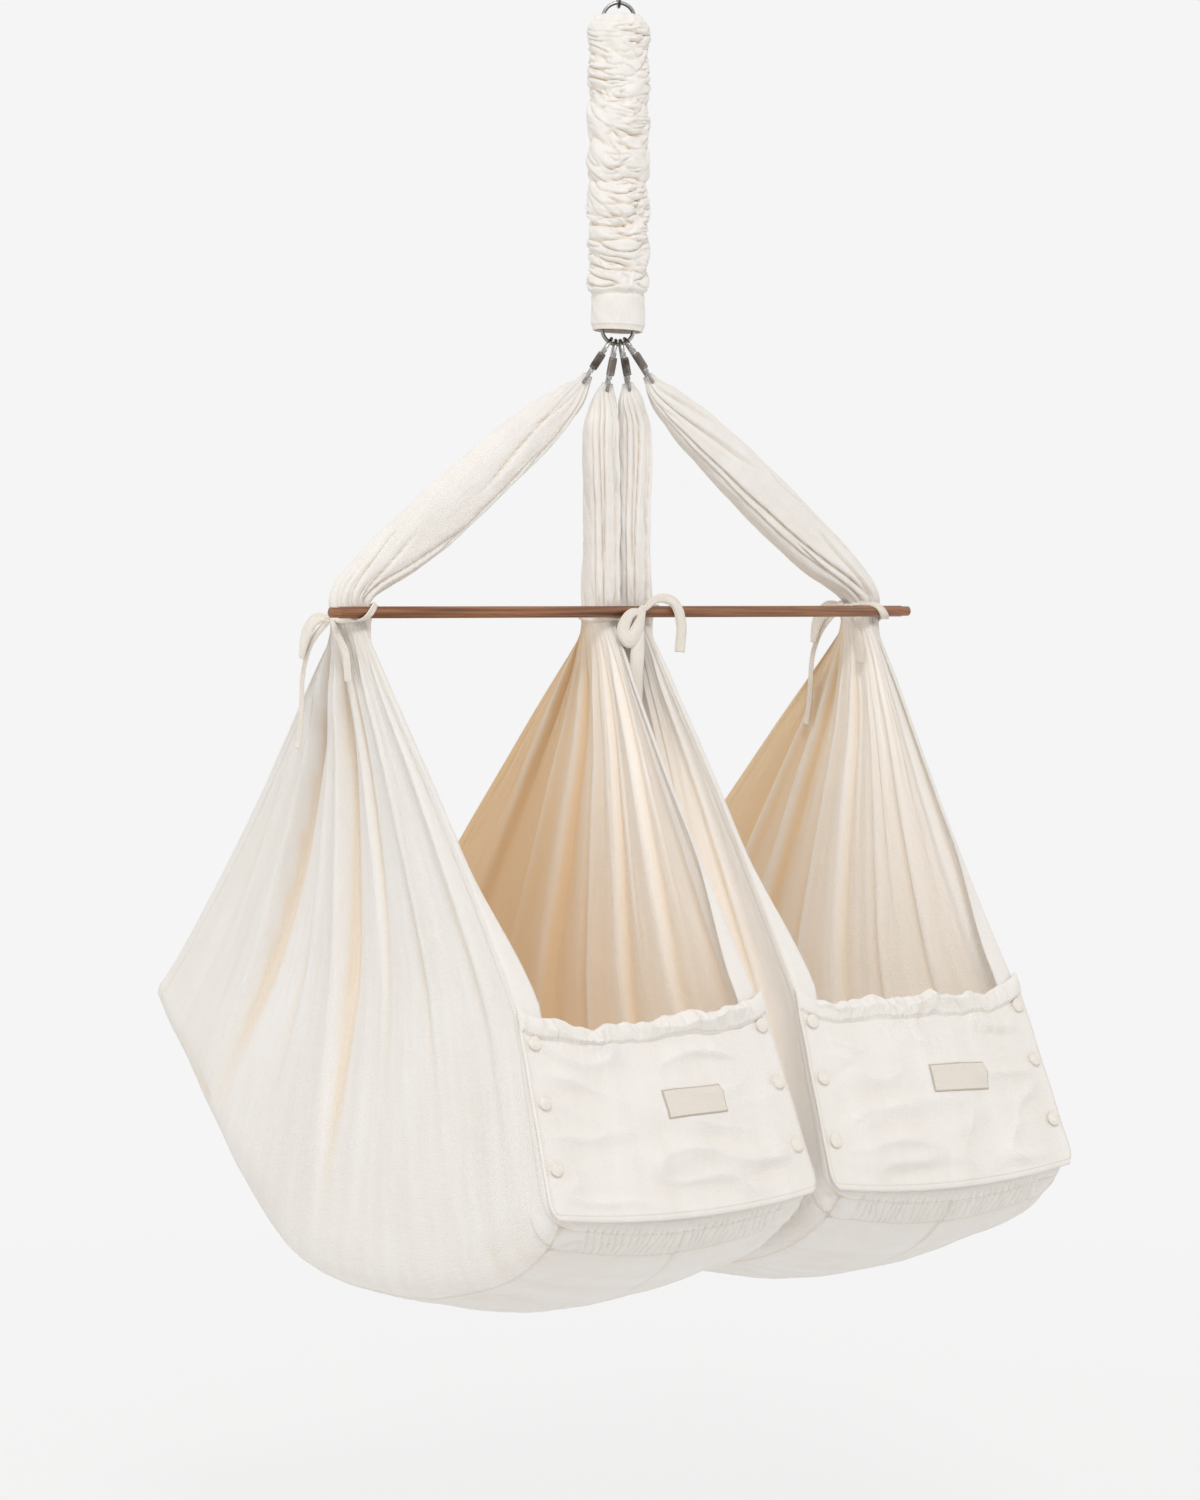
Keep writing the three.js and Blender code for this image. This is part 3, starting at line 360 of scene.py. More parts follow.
def hung(points, side):
    """Points in a cradle's own frame, moved to where it hangs. The left cradle mirrors the right one."""
    return points * (side, 1, 1) + (side * CRADLE_SPACING / 2, 0, -BAR_DROP)


def stands_for(piece, slot, body, *nodes):
    """Hides the solids that a piece stands for and hangs the piece on the body that it rides on. slot is not
    used.
    """
    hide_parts(*nodes)
    if body:
        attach(piece, body)


# Materials


def colour(code):
    """A colour written as six hex digits, in the linear numbers that a shader takes."""
    shares = [int(code[i : i + 2], 16) / 255 for i in (0, 2, 4)]
    return [s / 12.92 if s <= 0.04045 else ((s + 0.055) / 1.055) ** 2.4 for s in shares] + [1]


def node(tree, kind, inputs=(), stops=(), **settings):
    """Adds a node, or takes one that is there, with its settings, a ramp's stops, and its inputs by name
    or in order. An input is a number, a colour, an output, or a node that gives its first output."""
    made = kind if isinstance(kind, bpy.types.Node) else tree.nodes.new("ShaderNode" + kind)
    for key, value in settings.items():
        setattr(made, key, value)
    for key, value in inputs.items() if isinstance(inputs, dict) else enumerate(inputs):
        if isinstance(value, bpy.types.Node):
            value = value.outputs[0]
        if isinstance(value, bpy.types.NodeSocket):
            tree.links.new(value, made.inputs[key])
        else:
            made.inputs[key].default_value = value
    if stops:
        points = made.color_ramp.elements
        for _ in stops[2:]:
            points.new(0.5)
        for point, (place, code) in zip(points, stops):
            point.position, point.color = place, colour(code)
    return made


def new_material(name):
    """An empty material with its tree and its shader."""
    made = bpy.data.materials.new(name)
    made.use_nodes = True
    tree = made.node_tree
    return made, tree, tree.nodes["Principled BSDF"]


# Rows of stitches and the label's woven border, in metres as a finish measures them
STITCH_ROW = 0.0022
STITCH_HALF_WIDTH = 0.0007
STITCHES_PER_METRE = 270
STITCH_SHARE = 0.62
LABEL_BORDER = 0.0016

# A Mix node's two colours are its inputs 6 and 7, and the colour that comes out is its output 2. A Wave
# node has 20 / (2 pi) bands for each unit of its scale, so bands a width apart need this over the width.
BANDS = 2 * math.pi / 20


def cotton_canvas(name, light, slub, painted_warm_shade, thread=2.2):
    """Unbleached cotton canvas, woven and washed once: a dull off-white cloth with darker flecks and
    slubs, soft creases and raised, stitched seams. It takes a painted tan shade by its Warmth
    value and a painted glow by its PaintedGlow value, painted light standing in for light passing
    through the cloth. The real threads are 0.5 mm apart and don't show from this far, so they are
    drawn 1.6 to 2.2 mm apart."""
    made, tree, shader = new_material(name)
    weave = node(tree, "UVMap", uv_map="Weave")
    seam = node(tree, "SeparateXYZ", [node(tree, "UVMap", uv_map="Seam")])
    along_seam, over_seam = seam.outputs["X"], seam.outputs["Y"]
    # Painted shade and painted glow, read point by point: how far the cloth is tinted tan, and how strongly it
    # glows as if lit through
    painted_shade = node(tree, "Attribute", attribute_name="Warmth").outputs["Fac"]
    through = node(tree, "Attribute", attribute_name="PaintedGlow").outputs["Fac"]

    pitch = {"Vector": weave, "Scale": BANDS / (thread * MM), "Distortion": 0.6}
    warp, weft = (node(tree, "TexWave", pitch, bands_direction=way).outputs["Fac"] for way in "XY")
    threads = node(tree, "Math", (warp, weft), operation="ADD")
    noises = []
    patterns = ((420, 46, 1), 2), ((46, 420, 1), 2), ((34, 3.2, 1), 3), ((6, 6, 6), 2), ((52, 22, 1), 4)
    for stretch, detail in patterns:
        moved = node(tree, "Mapping", {"Vector": weave, "Scale": stretch})
        noises.append(node(tree, "TexNoise", {"Vector": moved, "Scale": 1, "Detail": detail}))
    slubs, cross_slubs, streaks, patches, creases = noises

    streaky = node(tree, "Math", (streaks, 0.6), operation="MULTIPLY")
    patchy = node(tree, "Math", (patches, 0.4), operation="MULTIPLY")
    tone = node(tree, "Math", (streaky, patchy), operation="ADD")
    cloth = node(tree, "ValToRGB", [tone], ((0.3, slub), (0.62, light)))
    crossings = node(tree, "Math", (slubs, cross_slubs), operation="MULTIPLY")
    flecks = node(tree, "ValToRGB", [crossings], ((0.3, "000000"), (0.46, "303030")))
    cloth = node(tree, "Mix", {0: flecks, 6: cloth, 7: colour("DCCDB6")}, data_type="RGBA")
    # Painted shade: the cloth is mixed towards a tan colour as its painted shade value rises
    glow = node(tree, "ValToRGB", [painted_shade], ((0.1, "ECE2D3"), (0.75, painted_warm_shade)))
    painted_shade_share = node(tree, "Math", (painted_shade, 1.6), operation="MULTIPLY")
    painted_shade_share = node(tree, "Math", (painted_shade_share, 1), operation="MINIMUM")
    cloth = node(tree, "Mix", {0: painted_shade_share, 6: cloth.outputs[2], 7: glow}, data_type="RGBA")

    beside = node(tree, "Math", (over_seam, STITCH_ROW), operation="SUBTRACT")
    beside = node(tree, "Math", [beside], operation="ABSOLUTE")
    row = node(tree, "Math", (beside, STITCH_HALF_WIDTH), operation="LESS_THAN")
    dash = node(tree, "Math", (along_seam, STITCHES_PER_METRE), operation="MULTIPLY")
    dash = node(tree, "Math", [dash], operation="FRACT")
    dash = node(tree, "Math", (dash, STITCH_SHARE), operation="LESS_THAN")
    stitches = node(tree, "Math", (row, dash), operation="MULTIPLY")
    sunk = node(tree, "Math", (stitches, 0.5), operation="MULTIPLY")
    cloth = node(tree, "Mix", {0: sunk, 6: cloth.outputs[2], 7: colour("D8C7AC")}, data_type="RGBA")

    raised = node(tree, "MapRange", {"Value": over_seam, "From Min": -0.0006, "From Max": 0.0008})
    sewn = node(tree, "Math", (raised, sunk), operation="SUBTRACT")
    lumps = node(tree, "Math", (slubs, cross_slubs), operation="ADD")
    normal = node(tree, "Bump", {"Height": creases, "Distance": 0.004, "Strength": 0.35})
    for height, distance, strength in ((lumps, 0.0006, 0.35), (threads, 0.0003, 0.4), (sewn, 0.0009, 0.5)):
        below = {"Height": height, "Distance": distance, "Strength": strength, "Normal": normal}
        normal = node(tree, "Bump", below)
    finish = {
        "Base Color": cloth.outputs[2],
        "Normal": normal,
        "Roughness": 0.92,
        "Specular IOR Level": 0.25,
        "Sheen Weight": 0.22,
        "Sheen Roughness": 0.55,
        # Painted glow: the cloth emits a pale light by its painted glow value, standing in for light coming
        # through it
        "Emission Color": colour("FFF0DE"),
        "Emission Strength": through,
    }
    node(tree, shader, finish)
    return made


def label_tape():
    """Woven polyester label tape with fused edges: smooth, a little greyer than the cloth, with a fine
    rib across it and a darker woven border."""
    made, tree, shader = new_material("woven_label_tape")
    places = node(tree, "UVMap", uv_map="Weave")
    from_edge = node(tree, "SeparateXYZ", [node(tree, "UVMap", uv_map="Seam")]).outputs["Y"]
    ribs = node(tree, "TexWave", {"Vector": places, "Scale": BANDS / 0.0012}, bands_direction="Y")
    tone = node(tree, "TexNoise", {"Vector": places, "Scale": 300, "Detail": 3})
    cloth = node(tree, "ValToRGB", [tone], ((0.3, "E1DACF"), (0.7, "E8E1D7")))
    border = node(tree, "Math", (from_edge, LABEL_BORDER), operation="LESS_THAN")
    border = node(tree, "Math", (border, 0.6), operation="MULTIPLY")
    cloth = node(tree, "Mix", {0: border, 6: cloth, 7: colour("A99B89")}, data_type="RGBA")
    field = node(tree, "Math", (from_edge, LABEL_BORDER), operation="GREATER_THAN")
    normal = node(tree, "Bump", {"Height": ribs.outputs["Fac"], "Distance": 0.0002, "Strength": 0.5})
    normal = node(tree, "Bump", {"Height": field, "Distance": 0.0004, "Strength": 0.5, "Normal": normal})
    finish = {"Base Color": cloth.outputs[2], "Normal": normal, "Roughness": 0.6, "Sheen Weight": 0.1}
    node(tree, shader, finish)
    return made


def stud_resin():
    """Acetal resin press studs, moulded: an even cream with a silky surface, slightly scuffed."""
    made, tree, shader = new_material("moulded_acetal")
    places = node(tree, "TexCoord").outputs["Object"]
    tone = node(tree, "TexNoise", {"Vector": places, "Scale": 180, "Detail": 2})
    scuffs = node(tree, "TexNoise", {"Vector": places, "Scale": 900, "Detail": 3})
    cream = node(tree, "ValToRGB", [tone], ((0.3, "E7E0D6"), (0.7, "EFEAE2")))
    rough = node(tree, "MapRange", {"Value": scuffs, "To Min": 0.36, "To Max": 0.5})
    normal = node(tree, "Bump", {"Height": scuffs, "Distance": 0.00006, "Strength": 0.4})
    node(tree, shader, {"Base Color": cream, "Roughness": rough, "Normal": normal, "IOR": 1.48})
    return made


def drawn_steel(name, light, dark, roughness):
    """Zinc-plated drawn steel wire: bright grey with fine marks along it, duller where it has rubbed."""
    made, tree, shader = new_material(name)
    places = node(tree, "TexCoord").outputs["Object"]
    lengthways = node(tree, "Mapping", {"Vector": places, "Scale": (1400, 1400, 160)})
    marks = node(tree, "TexNoise", {"Vector": lengthways, "Scale": 1, "Detail": 4})
    rubbed = node(tree, "TexNoise", {"Vector": places, "Scale": 90, "Detail": 3})
    grey = node(tree, "ValToRGB", [rubbed], ((0.35, dark), (0.65, light)))
    marked = node(tree, "Math", (marks, 0.12), operation="MULTIPLY")
    dull = node(tree, "Math", (rubbed, 0.14), operation="MULTIPLY")
    rough = node(tree, "Math", (marked, dull), operation="ADD")
    rough = node(tree, "Math", (rough, roughness), operation="ADD")
    normal = node(tree, "Bump", {"Height": marks, "Distance": 0.00008, "Strength": 0.4})
    node(tree, shader, {"Base Color": grey, "Roughness": rough, "Normal": normal, "Metallic": 1})
    return made


def oiled_walnut():
    """Walnut dowel, turned, sanded and oiled: red brown with grain along the bar, open pores and a soft
    gloss. The grain bands are 4 to 8 mm apart and the pores about 0.4 mm wide."""
    made, tree, shader = new_material("oiled_walnut")
    places = node(tree, "TexCoord").outputs["Object"]
    noises = []
    for stretch, detail in (((5, 190, 190), 5), ((60, 1500, 1500), 3), ((9, 30, 30), 2)):
        moved = node(tree, "Mapping", {"Vector": places, "Scale": stretch})
        noises.append(node(tree, "TexNoise", {"Vector": moved, "Scale": 1, "Detail": detail}))
    bands, pores, tone = noises
    grain = ((0.3, "523019"), (0.45, "7A4A2B"), (0.58, "9C6A44"), (0.7, "60371F"))
    wood = node(tree, "ValToRGB", [bands], grain)
    pale = node(tree, "ValToRGB", [tone], ((0.4, "000000"), (0.7, "505050")))
    wood = node(tree, "Mix", {0: pale, 6: wood, 7: colour("A9734A")}, data_type="RGBA")
    open_pores = node(tree, "ValToRGB", [pores], ((0.34, "606060"), (0.46, "000000")))
    wood = node(tree, "Mix", {0: open_pores, 6: wood.outputs[2], 7: colour("3A1B0E")}, data_type="RGBA")
    rough = node(tree, "MapRange", {"Value": pores, "To Min": 0.52, "To Max": 0.34})
    height = node(tree, "Math", (pores, bands), operation="ADD")
    finish = {
        "Base Color": wood.outputs[2],
        "Roughness": rough,
        "Normal": node(tree, "Bump", {"Height": height, "Distance": 0.0003, "Strength": 0.4}),
        "Coat Weight": 0.15,
        "Coat Roughness": 0.3,
    }
    node(tree, shader, finish)
    return made


# The tape is a closer weave of the same cotton, and the drill is brushed, so it looks a little brighter.
# The lock sleeves' darker grey is painted shade for the shadow they hang in; their cut knurling is rougher than
# the bright wire.
# The last colour of each cotton is its painted tan shade
canvas = cotton_canvas("cotton_canvas", "F2EFEC", "EBE7E1", "E8CBA4")
tie_cotton = cotton_canvas("cotton_tape", "F1ECE5", "EAE3DA", "E6CDA6", thread=1.6)
mattress_cotton = cotton_canvas("brushed_cotton_drill", "F3EFE9", "EDE8E0", "E6D2B0", thread=1.8)
label_finish = label_tape()
stud_finish = stud_resin()
steel = drawn_steel("zinc_plated_wire", "B9B7B4", "8F8D8A", 0.16)
# Painted shade: a darker copy of the wire's steel for the lock sleeves
shaded_sleeve_steel = drawn_steel("knurl_steel_painted_shade", "8C857E", "5F5852", 0.26)
walnut = oiled_walnut()


# Camera, light and floor

CAMERA_AT = (-2.544, -3.596, -0.710)
CAMERA_YAW = math.radians(35.03)
CAMERA_DIP = math.radians(2.454)
CAMERA_ROLL = math.radians(0.148)
FOCAL_PIXELS = 3869
PHOTO_HEIGHT = 1500
FLOOR_Z = -1.93
LIT_CENTRE = (0, 0, -1)
ROOM_COLOUR = "F5F5F5"


def photo_camera():
    level = math.cos(CAMERA_DIP)
    forward = Vector((math.sin(CAMERA_YAW) * level, math.cos(CAMERA_YAW) * level, -math.sin(CAMERA_DIP)))
    data = bpy.data.cameras.new("photo_camera")
    data.sensor_width = 36
    data.lens = FOCAL_PIXELS / PHOTO_HEIGHT * data.sensor_width
    camera = bpy.data.objects.new("photo_camera", data)
    facing = forward.to_track_quat("-Z", "Y").to_matrix().to_4x4()
    camera.matrix_world = Matrix.Translation(CAMERA_AT) @ facing @ Matrix.Rotation(CAMERA_ROLL, 4, "Z")
    bpy.context.scene.collection.objects.link(camera)
    bpy.context.scene.camera = camera


def area_lamp(name, place, size, power):
    """A square lamp that shines on the middle of the cradle."""
    data = bpy.data.lights.new(name, "AREA")
    data.shape = "SQUARE"
    data.size = size
    data.energy = power
    lamp = bpy.data.objects.new(name, data)
    lamp.location = place
    lamp.rotation_euler = (Vector(LIT_CENTRE) - Vector(place)).to_track_quat("-Z", "Y").to_euler()
    bpy.context.scene.collection.objects.link(lamp)


def pale_room():
    """Soft room light, and a plain pale room where the camera, gloss or glass sees it."""
    world = bpy.data.worlds.new("pale_room")
    world.use_nodes = True
    tree = world.node_tree
    path = node(tree, "LightPath").outputs
    seen = node(tree, "Math", (path["Is Glossy Ray"], path["Is Transmission Ray"]), operation="MAXIMUM")
    seen = node(tree, "Math", (path["Is Camera Ray"], seen), operation="MAXIMUM")
    lit = node(tree, "Background", {"Color": colour("FFFCF8"), "Strength": 0.61})
    shown = node(tree, "Background", {"Color": colour(ROOM_COLOUR), "Strength": 1})
    both = node(tree, "MixShader", (seen, lit, shown))
    node(tree, tree.nodes["World Output"], {"Surface": both})
    return world


def painted_floor():
    """A pale painted floor that keeps the shadow and runs into the room's colour without a horizon."""
    made, tree, shader = new_material("painted_floor")
    node(tree, shader, {"Base Color": colour("F0F0F0"), "Roughness": 0.8})
    glow = node(tree, "Emission", {"Color": colour(ROOM_COLOUR), "Strength": 1})
    path = node(tree, "LightPath").outputs
    places = node(tree, "TexCoord").outputs["Object"]
    flat = node(tree, "Mapping", {"Vector": places, "Scale": (1, 1, 0)})
    away = node(tree, "VectorMath", [flat], operation="LENGTH").outputs["Value"]
    bare = node(tree, "MapRange", {"Value": away, "From Min": 0.8, "From Max": 3, "To Min": 0.8})
    seen = node(tree, "Math", (path["Is Camera Ray"], path["Is Glossy Ray"]), operation="MAXIMUM")
    share = node(tree, "Math", (seen, bare), operation="MULTIPLY")
    both = node(tree, "MixShader", (share, shader, glow))
    node(tree, tree.nodes["Material Output"], {"Surface": both})
    return made


def studio():
    """Soft light from the front left and above, over a floor."""
    scene = bpy.context.scene
    scene.view_settings.view_transform = "Standard"
    scene.world = pale_room()
    area_lamp("key", (-1.9, -3.1, 2.7), 1.2, 88)
    area_lamp("side", (-3.9, 0.3, 0.5), 2.2, 27)
    area_lamp("fill", (3, -2.6, -0.1), 2.6, 19)
    area_lamp("back", (0.6, 2.8, 2.0), 2.2, 22)

    bpy.ops.object.select_all(action="DESELECT")
    bpy.ops.mesh.primitive_circle_add(vertices=96, radius=14, fill_type="NGON", location=(0, 0, FLOOR_Z))
    floor = bpy.context.object
    floor.name = "floor"
    floor.data.materials.append(painted_floor())


photo_camera()
studio()


# Slings. Each is made in its own frame, with X from its middle plane and the outer wall at +X.


def bezier(points, t):
    """Places on the curve that four points steer."""
    a, b, c, d = (np.array(point, float) for point in points)
    t = t[:, None]
    return a * (1 - t) ** 3 + 3 * b * t * (1 - t) ** 2 + 3 * c * t**2 * (1 - t) + d * t**3


def fold_line_table():
    """The line where a wall folds under into the floor, from the rear corner to the front."""
    rear, low, front = (np.array(place, float) for place in (REAR_CORNER, LOWEST, FRONT_BOTTOM))
    t = np.linspace(0, 1, 200)
    reach, rise = rear - low
    leaves_rear = (rear[0] - reach * 0.55, rear[1] - rise * 0.83)
    back = bezier((rear, leaves_rear, (low[0] + reach * 0.4, low[1]), low), t)
    reach, rise = low[0] - front[0], front[1] - low[1]
    meets_front = (front[0] + reach * 0.08, front[1] - rise * 0.55)
    ahead = bezier((low, (low[0] - reach * 0.55, low[1]), meets_front, front), t)
    line = np.vstack([back, ahead[1:]])
    length = run_along(line)
    return length / length[-1], line, length[-1]


FOLD_SHARES, FOLD_POINTS, FOLD_LENGTH = fold_line_table()


def fold_line(part):
    return np.interp(part, FOLD_SHARES, FOLD_POINTS[:, 0]), np.interp(part, FOLD_SHARES, FOLD_POINTS[:, 1])


# The gather's straight collar lies above a wall, at shares of the way down from minus this to zero
COLLAR = 0.02


def wall_reach(side, drop):
    """How far a wall lies from the sling's middle plane at a drop below the bar."""
    gather = GATHER_X - CRADLE_SPACING / 2 if side > 0 else CRADLE_SPACING / 2 - INNER_GATHER_X
    top, bottom = SLING_TOP_WIDTH / 2, SLING_BOTTOM_WIDTH / 2
    knee, end = -FRONT_TOP[1], -FRONT_BOTTOM[1]
    above = mix(gather, top, smooth(drop, GATHER_STRAIGHT, knee))
    return np.where(drop < knee, above, mix(top, bottom, np.minimum((drop - knee) / (end - knee), 1)))


def wall_place(side, part, down):
    """A wall's place by its share from rear to front and its share of the way down."""
    fold_y, fold_z = fold_line(part)
    start_y = BUNDLE_Y / 2 * np.cos(np.pi * part)
    start_z = -GATHER_STRAIGHT * np.clip(1 + down / COLLAR, 0, 1)
    knee_back = mix(start_y, FRONT_BOTTOM[0], KNEE) - FRONT_TOP[0]
    knee_y = mix(start_y, fold_y, KNEE) - knee_back * smooth(part, 0.7, 1)
    knee_z = mix(-GATHER_STRAIGHT, fold_z, KNEE)
    upper, lower = np.clip(down / KNEE, 0, 1), np.clip((down - KNEE) / (1 - KNEE), 0, 1)
    y = mix(mix(start_y, knee_y, upper), fold_y, lower)
    z = mix(mix(start_z, knee_z, upper), fold_z, lower)
    return np.stack(np.broadcast_arrays(side * wall_reach(side, -z), y, z), axis=-1)


# Points in the collar at the gather, down each wall, round each corner and across half the floor
COLLAR_STEPS = 3
WALL_STEPS = 44
CORNER_STEPS = 10
FLOOR_STEPS = 59
CORNER_COLUMN = COLLAR_STEPS + WALL_STEPS + CORNER_STEPS // 2

# Rows of the turned-in front edge, and a row and column on the outer wall, where the way out is known
EDGE_ROWS = 8
ON_OUTER_WALL = (100, 20)

# Small pleats at each gather, the part where the ruched band's seam runs, and millimetres that hide a seam
PLEATS = 17
RUCHED_SEAM = 0.955
NOT_SEWN = 60


def half_sling(side, part):
    """Points from a wall's gather down to the middle of the floor, with each one's share down."""
    collar = np.linspace(-COLLAR, 0, COLLAR_STEPS + 1)[:-1]
    downs = np.concatenate([collar, np.linspace(0, 1, WALL_STEPS) ** 1.35])
    above, corner = wall_place(side, part, np.array([[KNEE]])), wall_place(side, part, np.array([[1.0]]))
    run = np.linalg.norm(above - corner, axis=-1)
    corner_down = 1 - (1 - KNEE) * CORNER_RADIUS / run
    down = np.where(downs > 0, downs * corner_down, downs)
    wall = wall_place(side, part, down)
    fold_y, fold_z = fold_line(part)
    start = corner + unit(above - corner) * CORNER_RADIUS
    stop = np.stack([np.full_like(fold_y, side * FLAT_HALF), fold_y, fold_z], axis=-1)
    t = np.linspace(0, 1, CORNER_STEPS + 1)[1:].reshape(1, -1, 1)
    bend = start * (1 - t) ** 2 + 2 * corner * t * (1 - t) + stop * t**2
    from_middle = np.linspace(1, 0, FLOOR_STEPS + 1)[1:]
    sag = HEM_SAG + (BELLY_SAG - HEM_SAG) * np.sin(np.pi * part)
    floor_z = fold_z - sag * (1 - from_middle**2)
    x, y = np.broadcast_arrays(side * FLAT_HALF * from_middle, fold_y)
    floor = np.stack([x, y, floor_z], axis=-1)
    rest = np.full((len(part), CORNER_STEPS + FLOOR_STEPS), 1.0)
    return np.concatenate([wall, bend, floor], axis=1), np.concatenate([down, rest], axis=1)


def fan(part, down, folds):
    """Folds that fan out from the gather and lap over themselves: the cloth swells up to an edge and
    drops behind it. Each has its part at the gather, its drift, width, height and reach down."""
    lift = np.zeros_like(part * down)
    for centre, drift, width, size, reach in folds:
        offset = (part - centre - drift * down) / (width * (0.5 + 0.8 * down))
        shown = smooth(down, 0.01, 0.13) * (1 - smooth(down, reach - 0.55, reach))
        lift += size * shown * np.tanh(offset / 0.15) * np.exp(-np.abs(offset))
    return lift


def wall_folds(part, down, folds, seed):
    """How far a wall stands out: its long folds, the small pleats at the gather and soft billows."""
    chance = np.random.default_rng(seed)
    pleats = []
    for centre in (np.arange(PLEATS) + 0.5) / PLEATS:
        size = chance.choice((-1, 1)) * chance.uniform(1.6, 3.6)
        reach = chance.uniform(0.3, 0.66)
        pleats.append((centre + chance.uniform(-0.02, 0.02), chance.uniform(-0.02, 0.02), 0.026, size, reach))
    lift = fan(part, down, folds) + fan(part, down, pleats)
    soft = 3.6 * noise(part * 6, down * 1.2, seed + 7) + 1.3 * noise(part * 17, down * 1.9, seed + 9)
    fine = 0.6 * noise(part * 40, down * 3.2, seed + 11)
    fine += 0.4 * noise(part * 60 + down * 3, down * 9, seed + 12)
    return lift + (soft + fine) * smooth(down, 0.08, 0.4) * (1 - 0.45 * smooth(down, 0.75, 1))


def bundle_half(part, down, seed):
    """Half the gathered cloth's thickness, which swells into a pleated bundle at the tie."""
    pleats = np.abs(np.sin(np.pi * (13 * part + 0.7 * noise(part * 5, 0.5, seed)))) ** 0.5
    swell = (BUNDLE_X / 2 - HALF_SOLID_CLOTH) * np.sin(np.pi * part) * np.maximum(1 - down / 0.24, 0) ** 2
    return swell * (1 - 0.2 * (1 - pleats) * smooth(down, -COLLAR, 0.03))


def front_flange(edge, down):
    """Where the front edge turns in behind the front panel, and how far it reaches."""
    corner = smooth(np.abs(edge[:, 0]), FLAT_HALF, SLING_BOTTOM_WIDTH / 2)[:, None]
    inwards = np.stack([-np.sign(edge[:, 0]), 0 * down, 0 * down], axis=1)
    wall = (down < 1)[:, None]
    direction = unit(np.where(wall, inwards, inwards * corner + np.array(PANEL_UP) * (1 - corner)))
    on_wall = mix(HEM_FLANGE, FRONT_FLANGE, smooth(down, 0.4, KNEE)) * smooth(down, -COLLAR, 0.1)
    reach = np.where(wall[:, 0], on_wall, mix(LIP_FLANGE, FRONT_FLANGE, corner[:, 0]))
    return direction * reach[:, None]


def eased_rows(grid, around, reach, times):
    """The grid with its rows smoothed near one row, so that an edge there turns round softly."""
    for _ in range(times):
        rows = slice(around - reach, around + reach + 1)
        before = grid[around - reach - 1 : around + reach]
        after = grid[around - reach + 1 : around + reach + 2]
        grid[rows] = grid[rows] * 0.5 + (before + after) * 0.25
    return grid


def with_edge(grid):
    """A grid with its last row repeated for the rows of the turned-in front edge."""
    return np.concatenate([grid, np.repeat(grid[-1:], EDGE_ROWS, axis=0)])


def sling_seams(part, down, x, lengthways, sideways, from_corner):
    """How far along and above its seam each place lies: the hem round the edge, a seam along each corner
    of the floor, one up the middle of its front, and one below the ruched band."""
    off_floor = np.where(down >= 1, 0, NOT_SEWN)
    raised = HEM_WIDTH - np.minimum(1 - part, part) * FOLD_LENGTH * np.clip(0.25 + down, 0.25, 1)
    run = sideways
    for height, way in (
        (2.5 - from_corner, lengthways),
        (3 - np.abs(x) - off_floor - NOT_SEWN * (part < 0.55), lengthways),
        (3 - np.abs(part - RUCHED_SEAM) * FOLD_LENGTH - off_floor, sideways),
    ):
        run = np.where(height > raised, way, run)
        raised = np.maximum(raised, height)
    return np.stack([run, raised], axis=-1)


def sling_shades(part, down, hollow, on_outer, shade):
    """Painted shade on the cloth outside and inside, and painted glow: tan painted shade deepest at the
    rear, in the pleats, near the gathers and low down inside, and a painted glow where the two slings
    face each other and inside, stronger towards the front."""
    fades_from, fades_to, low_shade = shade
    outside = np.where(on_outer, 0.01, 0.02) + 0.12 * (1 - smooth(down, 0, 0.25)) + hollow / 11
    depth = 0.08 + 0.6 * (1 - smooth(part, fades_from, fades_to)) + low_shade * smooth(down, 0.1, 0.75)
    behind_edge = 1 - smooth(part, 0.9, 0.97)
    between = 0.17 * smooth(down, 0.02, 0.3) * (1 - smooth(down, 0.8, 1)) * behind_edge
    within = (0.14 * smooth(part, 0.1, 0.75) + 0 * hollow) * behind_edge
    return {
        "Warmth": (np.clip(outside, 0, 0.4), np.clip(depth - hollow / 22, 0, 1)),
        "PaintedGlow": (np.where(on_outer, 0, between), within),
    }


